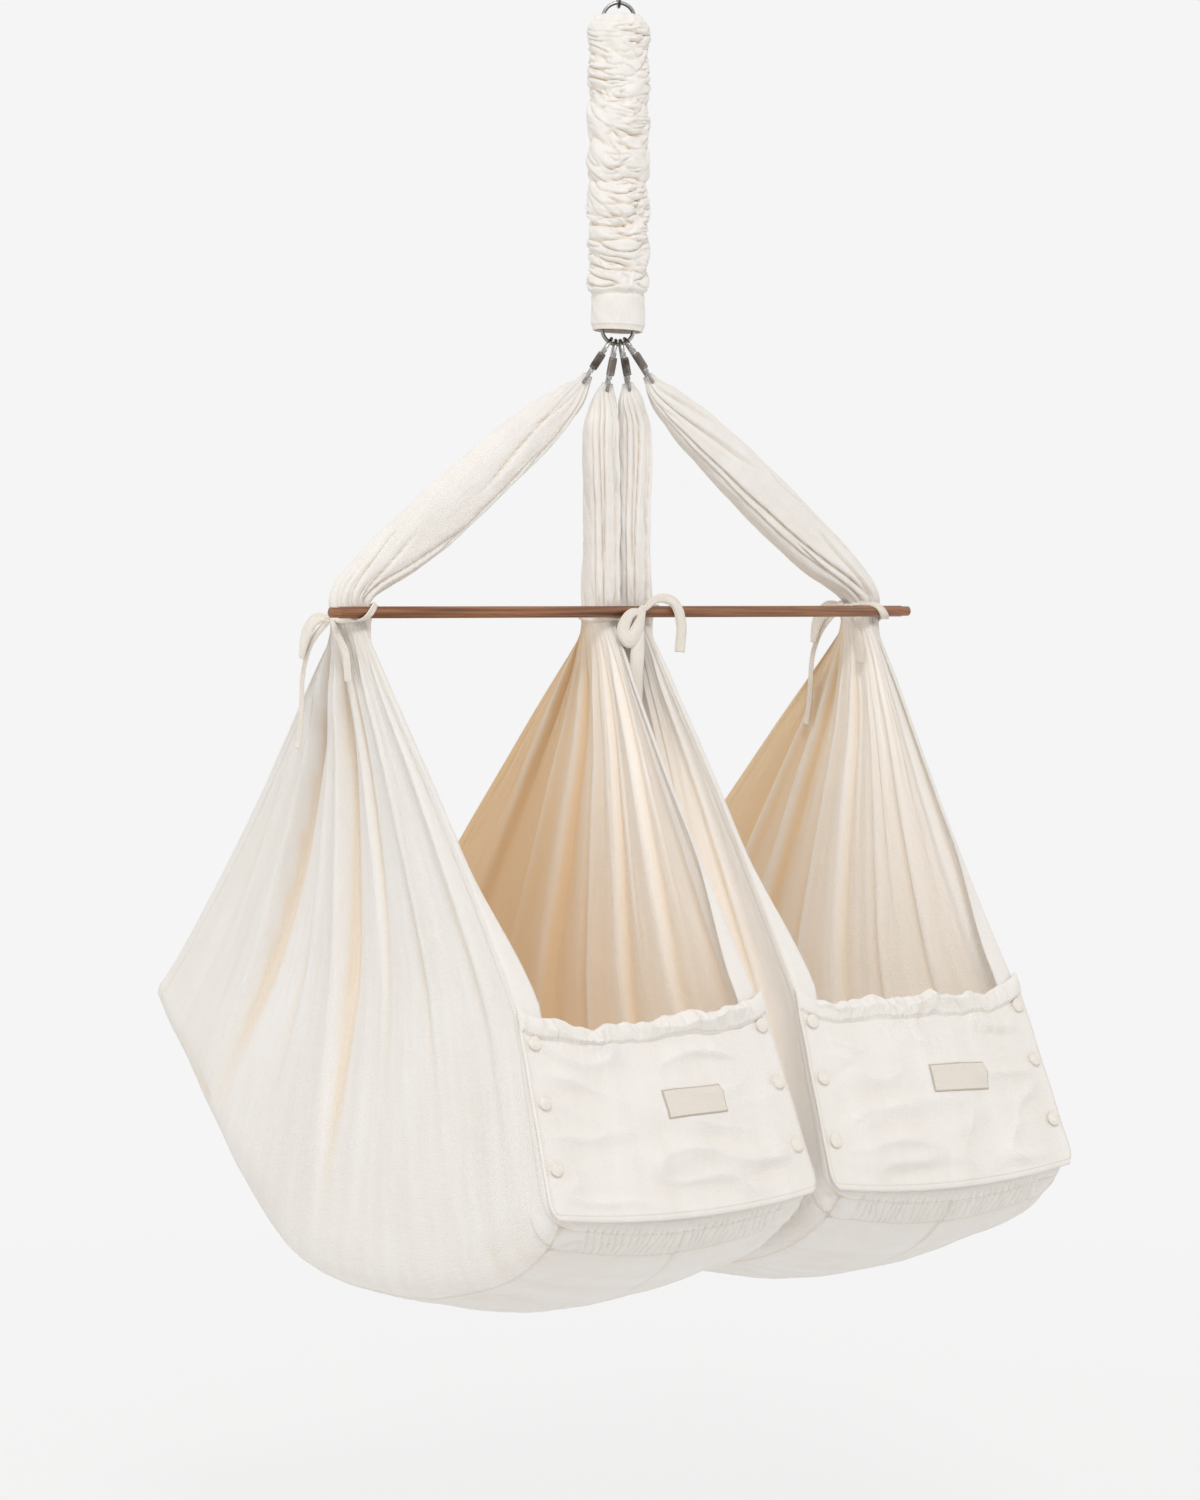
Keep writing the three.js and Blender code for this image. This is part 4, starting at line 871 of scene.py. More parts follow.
def sling(hand, side, outer_folds, inner_folds, shade, seed):
    """Outer wall, floor and inner wall in one sheet, folded at the walls, ruched in front of the floor
    and bundled at the gathers, with its front edge turned in behind the panel. Its rows stand closer
    together at both edges."""
    stretches = np.linspace(0, 0.012, 5), np.linspace(0.016, 0.976, 182), np.linspace(0.98, 1, 10)
    part = np.concatenate(stretches)[:, None]
    outer, outer_down = half_sling(1, part)
    inner, inner_down = half_sling(-1, part)
    middle = np.concatenate([outer, inner[:, -2::-1]], axis=1)
    down = np.concatenate([outer_down, inner_down[:, -2::-1]], axis=1)
    normals = grid_normals(middle)
    if normals[ON_OUTER_WALL][0] < 0:
        normals = -normals

    on_outer = np.arange(middle.shape[1])[None, :] < outer.shape[1]
    walls = wall_folds(part, down, outer_folds, seed), wall_folds(part, down, inner_folds, seed + 50)
    inset = 4.5 * smooth(down, 0, 0.3) * (1 - smooth(down, 0.45, 1))
    x = middle[..., 0]
    floor_share = smooth(down, 0.97, 1)
    floor_waves = 2.2 * noise(x / 70, part * 9, seed + 3) + 1.2 * noise(x / 28, part * 16, seed + 4)
    ruched = smooth(part, 0.952, 0.96) * (1 - smooth(part, 0.99, 0.996))
    gathers = 2.3 * np.abs(np.sin(x / 2.7 + 2.2 * noise(x / 26, part * 40, seed + 5)))
    on_floor = floor_waves * (1 - smooth(part, 0.93, 0.96)) + gathers * ruched
    lift = np.where(on_outer, *walls) - inset + floor_share * on_floor

    edge = middle[-1] + normals[-1] * lift[-1:].T
    flange = front_flange(edge, down[-1])
    turned = edge + flange * np.linspace(0, 1, EDGE_ROWS + 1)[1:, None, None]
    surface = eased_rows(np.concatenate([middle + normals * lift[..., None], turned]), len(part) - 1, 3, 5)
    square = grid_normals(surface)
    square *= np.sign((square[ON_OUTER_WALL] * normals[ON_OUTER_WALL]).sum())
    at_gather = (with_edge(down) < 0.2)[..., None]
    facing = unit(mix(square, np.concatenate([normals, square[len(part) :]]), at_gather))
    half = with_edge(CLOTH / 2 + bundle_half(part, down, seed))[..., None]
    front, back = hung(surface + facing * half, side), hung(surface - facing * half, side)

    across = along_grid(middle, 1)
    corners = across[:, [CORNER_COLUMN, -1 - CORNER_COLUMN]]
    from_corner = with_edge(np.abs(across[..., None] - corners[:, None]).min(-1))
    hollow = with_edge(hollows(lift, 7) + 2 * hollows(lift, 4, axis=1) * floor_share)
    past_front = np.concatenate([np.zeros(len(part)), 3 * np.arange(1, EDGE_ROWS + 1)])[:, None]
    part, down, sideways = with_edge(part), with_edge(down), with_edge(across)
    lengthways = part * FOLD_LENGTH + past_front
    weave = np.stack([np.broadcast_to(lengthways, sideways.shape), sideways], axis=-1)
    seam = sling_seams(part, down, surface[..., 0], lengthways, sideways, from_corner)
    shades = sling_shades(part, down, hollow, on_outer, shade)
    piece = cloth_piece(f"{hand}_sling_cloth", front, back, canvas, weave, seam, **shades)
    walls_and_floor = (f"{hand}_sling_outer_wall", f"{hand}_sling_floor", f"{hand}_sling_inner_wall")
    stands_for(piece, "cotton_canvas", "twin_cradle", *walls_and_floor)


# Where the inside's deep painted shade fades out from rear to front, and the painted shade low down
LEFT_SHADE = (0.14, 0.9, 0.24)
RIGHT_SHADE = (0.04, 0.76, 0.02)
LEFT_OUTER_FOLDS = (
    (0.92, 0.0, 0.045, 7, 0.9),
    (0.76, 0.03, 0.05, 6.5, 0.85),
    (0.61, 0.03, 0.05, -7, 0.8),
    (0.48, 0.01, 0.06, -19, 1.0),
    (0.37, -0.04, 0.06, 13, 0.85),
    (0.23, -0.05, 0.07, -19, 1.05),
    (0.1, -0.02, 0.05, 8, 0.85),
)
LEFT_INNER_FOLDS = (
    (0.94, -0.01, 0.05, -6, 1.0),
    (0.82, -0.02, 0.06, 7, 0.95),
    (0.69, -0.03, 0.07, 7, 1.05),
    (0.55, -0.02, 0.07, -7.5, 1.1),
    (0.42, -0.03, 0.08, 8.5, 1.1),
    (0.28, -0.02, 0.07, -7, 1.15),
    (0.14, 0, 0.07, 8, 1.1),
)
RIGHT_OUTER_FOLDS = tuple(
    (part + 0.012, drift, width, -size, reach) for part, drift, width, size, reach in LEFT_INNER_FOLDS
)
RIGHT_INNER_FOLDS = tuple((part - 0.015, *fold) for part, *fold in LEFT_OUTER_FOLDS)
sling("left", -1, LEFT_OUTER_FOLDS, LEFT_INNER_FOLDS, LEFT_SHADE, 11)
sling("right", 1, RIGHT_OUTER_FOLDS, RIGHT_INNER_FOLDS, RIGHT_SHADE, 29)


# Front panels


def panel_bulge(across, up):
    return PANEL_BULGE * np.sin(np.pi * across) ** 2 * np.sin(np.pi * np.minimum(up, 0.92))


def panel_point(across, up, lift):
    """A panel's place by its share across and up, and how far it stands off its flat seat."""
    rounded_foot = 9 * np.maximum(1 - up / 0.09, 0) ** 2
    half_width = mix(SLING_BOTTOM_WIDTH, SLING_TOP_WIDTH, up) / 2
    x = mix(-1, 1, across) * (half_width + HALF_SOLID_CLOTH - rounded_foot)
    arch = 4 * across * (1 - across)
    low = 1 - np.abs(2 * across - 1) ** 6
    droop = -PANEL_TOP_DROOP * low * up - HEM_SAG * arch * (1 - up)
    rise = (PANEL_HEIGHT * up + droop)[..., None] * np.array(PANEL_UP)
    out = (PANEL_SEAT + panel_bulge(across, up) + lift)[..., None] * np.array(PANEL_OUT)
    foot = np.stack([x, np.full_like(x, FRONT_BOTTOM[0]), np.full_like(x, FRONT_BOTTOM[1])], axis=-1)
    return foot + rise + out


def panel_surface(across, up, pulls, seed):
    """The front of a panel and its thickness at each place."""
    x, y = across * SLING_BOTTOM_WIDTH, up * PANEL_HEIGHT
    inside = smooth(np.minimum(across, 1 - across), 0.02, 0.14) * smooth(up, 0.02, 0.12)
    waves = 8 * noise(x / 150, y / 48, seed) + 2.5 * noise(x / 60, y / 26, seed + 1)
    waves += 17 * (0.22 - np.abs(noise(x / 150 + y / 90, y / 62 - x / 200, seed + 2)) ** 0.85)
    calm = 1 - 0.85 * np.exp(-(((across - 0.5) / 0.27) ** 2) - ((up - 0.56) / 0.15) ** 2)
    lift = inside * calm * waves
    near_top = smooth(up, 0.66, 0.94)
    ruffle = np.abs(noise(x / 26 + 0.4 * noise(x / 30, y / 30, seed + 5), y / 110, seed + 3)) ** 0.55
    ruffle += 0.4 * np.abs(noise(x / 9, y / 50, seed + 4)) ** 0.7
    puffs = 0.75 + 0.75 * noise(x / 52, 0.5, seed + 7)
    lift += near_top * inside * puffs * (7 * ruffle - 3.6)
    for stud_x, stud_up, turn, length, depth in pulls:
        from_x, from_y = x - stud_x, y - stud_up * PANEL_HEIGHT
        ahead = from_x * math.cos(turn) + from_y * math.sin(turn)
        beside = from_y * math.cos(turn) - from_x * math.sin(turn)
        shown = smooth(ahead, 4, 16) * np.exp(-np.maximum(ahead, 0) / length) * inside
        width = 10 + 0.16 * np.abs(ahead)
        lift += calm * shown * depth * np.tanh(beside / 5) * np.exp(-np.abs(beside) / width)
    for stud_up in STUD_UPS:
        for stud_x in (STUD_INSET, SLING_BOTTOM_WIDTH - STUD_INSET):
            away = np.hypot(x - stud_x, y - stud_up * PANEL_HEIGHT)
            lift -= 1.6 * smooth(away, 6, 9) * np.exp(-((away / 22) ** 2))
    in_casing = np.clip((up - CASING_START) / (1 - CASING_START), 0, 1)
    tube = np.sqrt(np.maximum(1 - (2 * in_casing - 1) ** 2, 0)) * (in_casing > 0)
    swollen = 0.8 + 0.9 * noise(x / 38, 0.5, seed + 10)
    thick = (CASING_THICKNESS - PANEL_THICKNESS) * tube * (0.35 + 1.2 * ruffle * np.maximum(swollen, 0.3))
    groove = -0.6 * np.exp(-(((up - CASING_START) * PANEL_HEIGHT / 2.5) ** 2)) * inside
    bunches = 0.02 * noise(x / 17, 0.5, seed + 6) + 0.034 * noise(x / 40, 0.5, seed + 9)
    wavy_up = up + bunches * smooth(up, 0.8, 1) * inside
    wavy_across = across + 0.006 * noise(x / 12, y / 20, seed + 8) * near_top * inside
    lift += groove
    room = 1.4 + 0.8 * panel_bulge(across, up)
    return wavy_across, wavy_up, np.maximum(lift, room * np.tanh(lift / room)), thick


def front_panel(hand, side, pulls, seed):
    """A panel of cloth. Its lowest strip stays on the sling, so that it folds down from its seam."""
    acrosses = np.linspace(0, 1, 236)
    ups = np.concatenate([np.linspace(0, CASING_START, 84), np.linspace(CASING_START, 1, 30)[1:]])
    across, up = np.meshgrid(acrosses, ups)
    wavy_across, wavy_up, lift, thick = panel_surface(across, up, pulls, seed)
    edge = np.minimum(np.minimum(across, 1 - across) * SLING_BOTTOM_WIDTH, up * PANEL_HEIGHT)
    rolled = 1 - np.exp(-edge / 1.2)
    front = hung(panel_point(wavy_across, wavy_up, lift + CLOTH * rolled + LINING + thick), side)
    back = hung(panel_point(wavy_across, wavy_up, lift * 0.9 + 0.2), side)
    x, y = across * SLING_BOTTOM_WIDTH, up * PANEL_HEIGHT
    weave = np.stack([x, y], axis=-1)
    side_hem = 5 - np.minimum(across, 1 - across) * SLING_BOTTOM_WIDTH
    lower_hem = 9 - y
    upper = y - CASING_START * PANEL_HEIGHT
    widest = np.maximum(np.maximum(side_hem, lower_hem), upper)
    seam = np.stack([np.where(side_hem >= widest, y, x), widest], axis=-1)
    # Painted shade: a tan tint in the panel's hollows, and a little over its inside
    painted_warm_shade = np.clip(0.02 + hollows(lift + thick, 6, axis=1) / 22 + hollows(lift, 8) / 40, 0, 0.2)
    name = f"{hand}_panel_cloth"
    piece = cloth_piece(name, front, back, canvas, weave, seam, Warmth=(painted_warm_shade, painted_warm_shade * 0 + 0.12))
    stands_for(piece, "cotton_canvas", None, f"{hand}_front_panel")
    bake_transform(piece)


# Creases that run from a stud: its place across and up, the direction, and the length and depth
FAR_STUD = SLING_BOTTOM_WIDTH - STUD_INSET
LEFT_PULLS = (
    (STUD_INSET, 0.86, -0.42, 110, 3),
    (STUD_INSET, 0.57, -0.12, 130, -3),
    (STUD_INSET, 0.25, 0.2, 140, -2.8),
    (STUD_INSET, 0.25, -0.25, 60, 2),
    (FAR_STUD, 0.57, 3.35, 90, 2.6),
    (FAR_STUD, 0.25, 2.9, 120, 3),
    (FAR_STUD, 0.86, 3.6, 70, -2.4),
)
RIGHT_PULLS = (
    (STUD_INSET, 0.57, -0.5, 80, -4),
    (STUD_INSET, 0.57, -1.0, 90, 3.6),
    (STUD_INSET, 0.57, 0.55, 60, 3.4),
    (STUD_INSET, 0.86, -0.6, 60, 3),
    (STUD_INSET, 0.25, 0.5, 90, -3),
    (FAR_STUD, 0.57, 3.4, 60, 2.2),
    (FAR_STUD, 0.25, 2.9, 80, 2.4),
)
front_panel("left", -1, LEFT_PULLS, 101)
front_panel("right", 1, RIGHT_PULLS, 151)


def blank_label(hand, side, pulls, seed):
    """A bare woven label that follows the panel under it. Both labels sit right of the middle, so the left
    one isn't mirrored."""
    u, v = np.meshgrid(np.linspace(-0.5, 0.5, 68), np.linspace(-0.5, 0.5, 30))
    tilt = 0.03 * side
    across = 0.6 + (u * LABEL_WIDTH + v * LABEL_HEIGHT * tilt) / SLING_BOTTOM_WIDTH
    up = 0.56 + (v * LABEL_HEIGHT - u * LABEL_WIDTH * tilt) / PANEL_HEIGHT
    lift = panel_surface(across if side > 0 else 1 - across, up, pulls, seed)[2]
    from_edge = np.minimum((0.5 - np.abs(u)) * LABEL_WIDTH, (0.5 - np.abs(v)) * LABEL_HEIGHT)
    rolled = 1 - np.exp(-from_edge / 0.5)
    seat = lift + LINING + CLOTH + SEAT_GAP
    under, over = panel_point(across, up, seat), panel_point(across, up, seat + 0.4 + 0.8 * rolled)
    place = np.array([side * CRADLE_SPACING / 2, 0, -BAR_DROP])
    weave = np.stack([u * LABEL_WIDTH, v * LABEL_HEIGHT], axis=-1)
    seam = np.stack([u * LABEL_WIDTH, from_edge], axis=-1)
    piece = cloth_piece(f"{hand}_label_tape", over + place, under + place, label_finish, weave, seam)
    stands_for(piece, "label_cloth", f"{hand}_front_flap", f"{hand}_blank_label")


blank_label("left", -1, LEFT_PULLS, 101)
blank_label("right", 1, RIGHT_PULLS, 151)


# Straps, from each carabiner's lower bow down to its gather at the bar


def turned_to(axes, place):
    """A place in a carabiner's frame, moved by its matrix."""
    return np.array(axes @ Vector(place))


def lower_carabiner_matrix(lean):
    """Where a lower carabiner hangs from the spring's loop, leaning along the bar by some degrees."""
    swing = Matrix.Rotation(math.radians(lean), 4, "X")
    drop = Matrix.Translation((0, 0, BOTTOM_LOOP_Z))
    return Matrix.Rotation(TURNED, 4, "Z") @ drop @ swing @ Matrix.Translation((0, 0, -LOWER_BOW_RADIUS))


def wrapped(angle):
    return (angle + np.pi) % (2 * np.pi) - np.pi


def creased(angle, part, creases):
    """How far a bundle's skin stands out beside its creases. Each crease runs from one angle to
    another between two parts of the length, with a depth and a width."""
    lift = np.zeros_like(angle * part)
    for start, stop, first, last, depth, width in creases:
        centre = mix(start, stop, (part - first) / (last - first))
        away = wrapped(angle - centre)
        shown = smooth(part, first - 0.05, first + 0.06) * (1 - smooth(part, last - 0.06, last + 0.05))
        step = np.tanh(away / (0.14 * width)) * np.exp(-np.abs(away) / (2.2 * width))
        swell = 0.3 * np.exp(-((away / (3 * width)) ** 2))
        lift += shown * depth * (0.55 * step - np.exp(-np.abs(away) / width) + swell)
    return lift


STRAP_PARTS = (0, 0.02, 0.07, 0.2, 0.4, 0.6, 0.78, 0.9, 0.96, 1)


def strap_size(outer):
    """Widths and thicknesses of a strap at the parts of its length."""
    width, thick = STRAP_END_WIDTH, STRAP_END_THICKNESS
    widths = [width * 0.7, width * 1.1, width * (2.1 if outer else 1.65)]
    widths += [STRAP_WIDTH * share for share in (0.85, 1, 1.04, 0.95)] + [BUNDLE_X * 1.05, BUNDLE_X, BUNDLE_X]
    thicks = [thick * 0.7, thick * 1.1, thick * 2]
    thicks += [STRAP_THICKNESS * share for share in (0.9, 1, 1, 1.05)] + [BUNDLE_Y * 0.92, BUNDLE_Y, BUNDLE_Y]
    if not outer:
        widths = [INNER_STRAP_WIDTH if 2 < i < 7 else min(w, BUNDLE_X) for i, w in enumerate(widths)]
    return widths, thicks


def strap(name, side, outer, lean, creases, seed):
    """A gathered strap, wound along its route and squeezed into pleats at both ends."""
    axes = lower_carabiner_matrix(lean)
    bow_end = turned_to(axes, (0, 0, STRAP_OVER_BOW - CARABINER_REACH))
    bow = turned_to(axes, (0, 0, -CARABINER_REACH - STRAP_UNDER_BOW))
    gather = side * (GATHER_X if outer else INNER_GATHER_X)
    foot = np.array([gather, 0, SEAT_GAP - BAR_DROP])
    straight = np.array([gather, 0, 1.5 * GATHER_STRAIGHT - BAR_DROP])
    away = mix(bow, straight, 1 / 3 if outer else 1 / 6)
    near = mix(straight, bow, 1 / 3)
    if not outer:
        away[:2] = gather, 0
    rows, columns = 190, 132
    path = smooth_path([bow_end, bow, away, near, straight, foot], rows)
    part = np.linspace(0, 1, rows)[:, None]
    tangent = unit(np.gradient(path, axis=0))
    tangent[-8:] = mix(tangent[-8:], np.array([0, 0, -1.0]), smooth(np.arange(8), -1, 7)[:, None])
    start_depth = np.array(axes.to_3x3() @ Vector((1, 0, 0)))
    depth = mix(start_depth, np.array([0, 1.0, 0]), smooth(part, 0, 0.2))
    depth = unit(depth - tangent * (depth * tangent).sum(1, keepdims=True))
    broad = np.cross(tangent, depth)
    widths, thicks = strap_size(outer)
    half_width = np.interp(part, STRAP_PARTS, widths) / 2
    half_thick = np.interp(part, STRAP_PARTS, thicks) / 2
    for sizes in (half_width, half_thick):
        sizes[:, 0] = rounded(sizes[:, 0], 5)

    angle = np.linspace(0, 2 * np.pi, columns, endpoint=False)[None, :]
    lift = creased(angle, part, creases)
    ends = 1 - smooth(part, 0.08, 0.2) + smooth(part, 0.84, 0.95)
    wander = 2.5 * noise(part * 5, 0.3, seed) + noise(angle * 1.6, part * 4, seed + 1)
    pleats = np.abs(np.sin(6.5 * angle + wander)) ** 0.5
    size = np.minimum(half_width, half_thick) / 24
    lift = lift * np.clip(size, 0.3, 1) - 3.6 * size * ends * (1 - pleats)
    wrap = np.stack([np.cos(angle), np.sin(angle)])
    lift += 1.1 * noise(2 * wrap[0] + part * 2, 2 * wrap[1] + part * 8, seed + 2)
    lift += 0.35 * noise(6 * wrap[0] + part * 3, 6 * wrap[1] + part * 22, seed + 3)
    round_x = np.sign(np.cos(angle)) * np.abs(np.cos(angle)) ** 0.9
    round_y = np.sign(np.sin(angle)) * np.abs(np.sin(angle)) ** 0.82
    x, y = half_width * round_x, half_thick * round_y
    shrink = np.maximum(1 + (lift - 1.2) / np.maximum(np.hypot(x, y), 1), 0.35)
    x, y = (x * shrink)[..., None], (y * shrink)[..., None]
    rings = path[:, None] + broad[:, None] * x + depth[:, None] * y

    # Painted shade: a tan tint in the strap's creases
    painted_warm_shade = np.clip(0.03 + hollows(lift, 4, axis=1, around=True) / 8, 0, 0.5)
    piece = wound_piece(name + "_cloth", rings, canvas, STRAP_GIRTH, painted_warm_shade)
    stands_for(piece, "cotton_canvas", "twin_cradle", name)


LEFT_BAND = (
    (-2.1, -1.35, 0.04, 0.46, 5.5, 0.1),
    (-1.5, -1.9, 0.02, 0.26, 4.5, 0.1),
    (-0.95, -0.45, 0.02, 0.34, 5, 0.09),
    (-0.75, -0.25, 0.3, 0.92, 4.5, 0.08),
    (-0.6, -1.25, 0.62, 1, 5.5, 0.1),
    (-1.75, -1.25, 0.74, 1, 4.5, 0.08),
    (-2.5, -1.9, 0.76, 1, 4.5, 0.08),
    (1.2, 1.6, 0.05, 0.95, 5, 0.1),
    (2.5, 2, 0.1, 0.9, 4.5, 0.1),
    (0.35, 0.75, 0.1, 0.7, 4, 0.09),
)
RIGHT_BAND = (
    (-2.5, -1.75, 0.02, 0.94, 6, 0.09),
    (-2, -1.25, 0.02, 0.4, 5, 0.09),
    (-1.4, -0.8, 0.02, 0.24, 4.5, 0.1),
    (-2.75, -2.3, 0.06, 0.8, 4.5, 0.08),
    (-1.15, -1.7, 0.7, 1, 5, 0.09),
    (-2.15, -2.3, 0.66, 1, 4.5, 0.08),
    (-0.7, -0.5, 0.45, 0.95, 3.5, 0.09),
    (1.5, 1.1, 0.05, 0.95, 5, 0.1),
    (2.3, 2.6, 0.1, 0.9, 4.5, 0.1),
)
ROPE_LEFT = tuple(
    (start, start + drift, 0.02, last, depth, 0.085)
    for start, drift, last, depth in (
        (-2.75, 0.25, 1, 5.5),
        (-2.25, 0.2, 0.8, 6),
        (-1.8, -0.2, 1, 6.5),
        (-1.3, 0.15, 0.66, 5),
        (-0.95, -0.3, 1, 6),
        (-0.4, 0.2, 1, 5.5),
        (0.3, 0.3, 1, 6),
        (1.1, -0.2, 1, 6),
        (1.8, 0.2, 1, 6),
        (2.6, -0.2, 1, 6),
    )
)
ROPE_RIGHT = tuple((start + 0.22, stop - 0.1, *crease) for start, stop, *crease in ROPE_LEFT)

for name, side, outer, lean, creases, seed in (
    ("left_outer_strap", -1, True, OUTER_LEAN, LEFT_BAND, 210),
    ("left_inner_strap", -1, False, INNER_LEAN, ROPE_LEFT, 220),
    ("right_inner_strap", 1, False, -INNER_LEAN, ROPE_RIGHT, 230),
    ("right_outer_strap", 1, True, -OUTER_LEAN, RIGHT_BAND, 240),
):
    strap(name, side, outer, lean, creases, seed)


# Spring and its scrunched sleeve


def spring_path():
    """The wire's route: a loop at each end, a lead, and the coil between them."""
    start_z = TOP_LOOP_Z - LOOP_RADIUS - LOOP_LEAD
    end_z = TOP_LOOP_Z + BOTTOM_LOOP_Z - start_z
    top = [
        (0, LOOP_RADIUS * math.sin(a), TOP_LOOP_Z + LOOP_RADIUS * math.cos(a))
        for a in np.radians(np.linspace(-125, 180, 40))
    ]
    for part in (0.25, 0.5, 0.75):
        radius = LOOP_RADIUS * math.sin(math.pi / 2 * part)
        angle = mix(-math.pi / 2, math.pi / 2, part**2)
        z = TOP_LOOP_Z - LOOP_RADIUS - LOOP_LEAD * part
        top.append((radius * math.cos(angle), radius * math.sin(angle), z))
    turns = SPRING_CURLS + 0.5
    steps = int(turns * STEPS_PER_TURN)
    coil = []
    for k in range(steps + 1):
        angle = math.pi / 2 + 2 * math.pi * turns * k / steps
        z = mix(start_z, end_z, k / steps)
        coil.append((LOOP_RADIUS * math.cos(angle), LOOP_RADIUS * math.sin(angle), z))
    return top + coil + [(x, -y, TOP_LOOP_Z + BOTTOM_LOOP_Z - z) for x, y, z in reversed(top)]


def wire_spring():
    """Wound as a curve with a round section, then made a mesh."""
    curve = bpy.data.curves.new("spring_wire", "CURVE")
    curve.dimensions = "3D"
    curve.bevel_depth = SPRING_WIRE / 2 * MM
    curve.bevel_resolution = 3
    curve.use_fill_caps = True
    route = curve.splines.new("POLY")
    places = spring_path()
    route.points.add(len(places) - 1)
    spin = Matrix.Rotation(TURNED, 4, "Z")
    for point, place in zip(route.points, places):
        point.co = (*(spin @ Vector(place) * MM), 1)
    piece = bpy.data.objects.new("spring_wire", curve)
    bpy.context.scene.collection.objects.link(piece)
    only(piece)
    bpy.ops.object.convert(target="MESH")
    piece = bpy.context.object
    merge_doubles(piece)
    bpy.ops.object.shade_smooth()
    piece.data.materials.append(steel)
    return piece


def scrunched_sleeve():
    """A sleeve pushed together into rolls and short creases, with a flat hem at its lower end."""
    rows, columns = 310, 144
    part = np.linspace(0, 1, rows)[:, None]
    angle = np.linspace(0, 2 * np.pi, columns + 1)[None, :]
    drop = part * SLEEVE_LENGTH
    across, ahead = np.cos(angle), np.sin(angle)
    ruffled = SLEEVE_LENGTH - SLEEVE_HEM_LENGTH
    loose = smooth(drop, 2, 16) * (1 - smooth(drop, ruffled - 6, ruffled + 4))

    def round_noise(scale, length, seed):
        return noise(across * scale + drop / length * 0.31, ahead * scale + drop / length, seed)

    warp = 5.5 * round_noise(1.1, 55, 301) + 2.6 * round_noise(2.4, 26, 302)
    puffs = np.abs(np.sin(np.pi * (drop + 2.4 * warp) / 47)) ** 0.6 - 0.6
    lift = loose * (5 * puffs + 2.2 * round_noise(1.3, 19, 303) + 0.8 * round_noise(3.2, 8, 306))
    creases = (311, 0.7, 14, 4.2, 0.11), (321, 1.1, 8, 3, 0.12), (331, 1.8, 17, 2.4, 0.09)
    for seed, scale, length, depth, width in creases:
        line = np.exp(-((round_noise(scale, length, seed) / width) ** 2))
        shown = smooth(round_noise(0.8, 42, seed + 1), -0.25, 0.25)
        lift -= loose * shown * depth * line
    band = smooth(drop, ruffled - 2, ruffled + 5)
    lift += band * (1.1 * round_noise(1.3, 26, 307) + 0.5 * round_noise(3, 14, 308))
    lift -= 1.4 * np.exp(-(((drop - ruffled) / 2.2) ** 2))
    grip = LOOP_RADIUS + SPRING_WIRE / 2 + SEAT_GAP + 2.5
    radius = mix(SLEEVE_RADIUS - 1, SLEEVE_HEM_RADIUS, smooth(drop, ruffled - 8, ruffled + 3))
    drawn_in = 0.07 * smooth(drop, SLEEVE_LENGTH - 9, SLEEVE_LENGTH)
    radius = mix(grip + 2, radius, smooth(drop, -2, 13)) * (1 - drawn_in)
    collar = 1 - smooth(drop, 2, 12)
    lift += collar * 1.4 * np.sin(11 * angle + 3 * round_noise(1, 30, 309))
    outer = radius + lift
    padded = smooth(drop, 6, 20) * (1 - smooth(drop, SLEEVE_LENGTH - 14, SLEEVE_LENGTH - 4))
    inner = outer - 2.2 - 1.5 * padded
    wavy = SLEEVE_TOP_Z - drop + loose * 1.6 * round_noise(2, 22, 310) - 1.5 * across * smooth(part, 0.9, 1)

    def skin(radius_at):
        return np.stack(np.broadcast_arrays(radius_at * across, radius_at * ahead, wavy), axis=-1)

    long_way, round_way = np.broadcast_arrays(drop * 1.7, angle * SLEEVE_RADIUS)
    weave = np.stack([round_way, long_way], axis=-1)
    seam = np.stack([round_way, np.broadcast_to(3 - (SLEEVE_LENGTH - 5 - drop), round_way.shape)], axis=-1)
    # Painted shade: a tan tint in the sleeve's hollows, and more of it inside the sleeve
    painted_warm_shade = np.clip(0.03 + hollows(lift, 5) / 7, 0, 0.6)
    shade = (painted_warm_shade, painted_warm_shade * 0 + 0.3)
    return cloth_piece("sleeve_cloth", skin(outer), skin(inner), canvas, weave, seam, tube=True, Warmth=shade)


spring_piece = wire_spring()
stands_for(spring_piece, "steel", None, "spring")
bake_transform(spring_piece)
sleeve_piece = scrunched_sleeve()
stands_for(sleeve_piece, "cotton_canvas", None, "spring_sleeve")
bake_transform(sleeve_piece)


# Ties


def joined(pieces, name):
    bpy.ops.object.select_all(action="DESELECT")
    for piece in pieces:
        piece.select_set(True)
    bpy.context.view_layer.objects.active = pieces[0]
    bpy.ops.object.join()
    pieces[0].name = name
    return pieces[0]


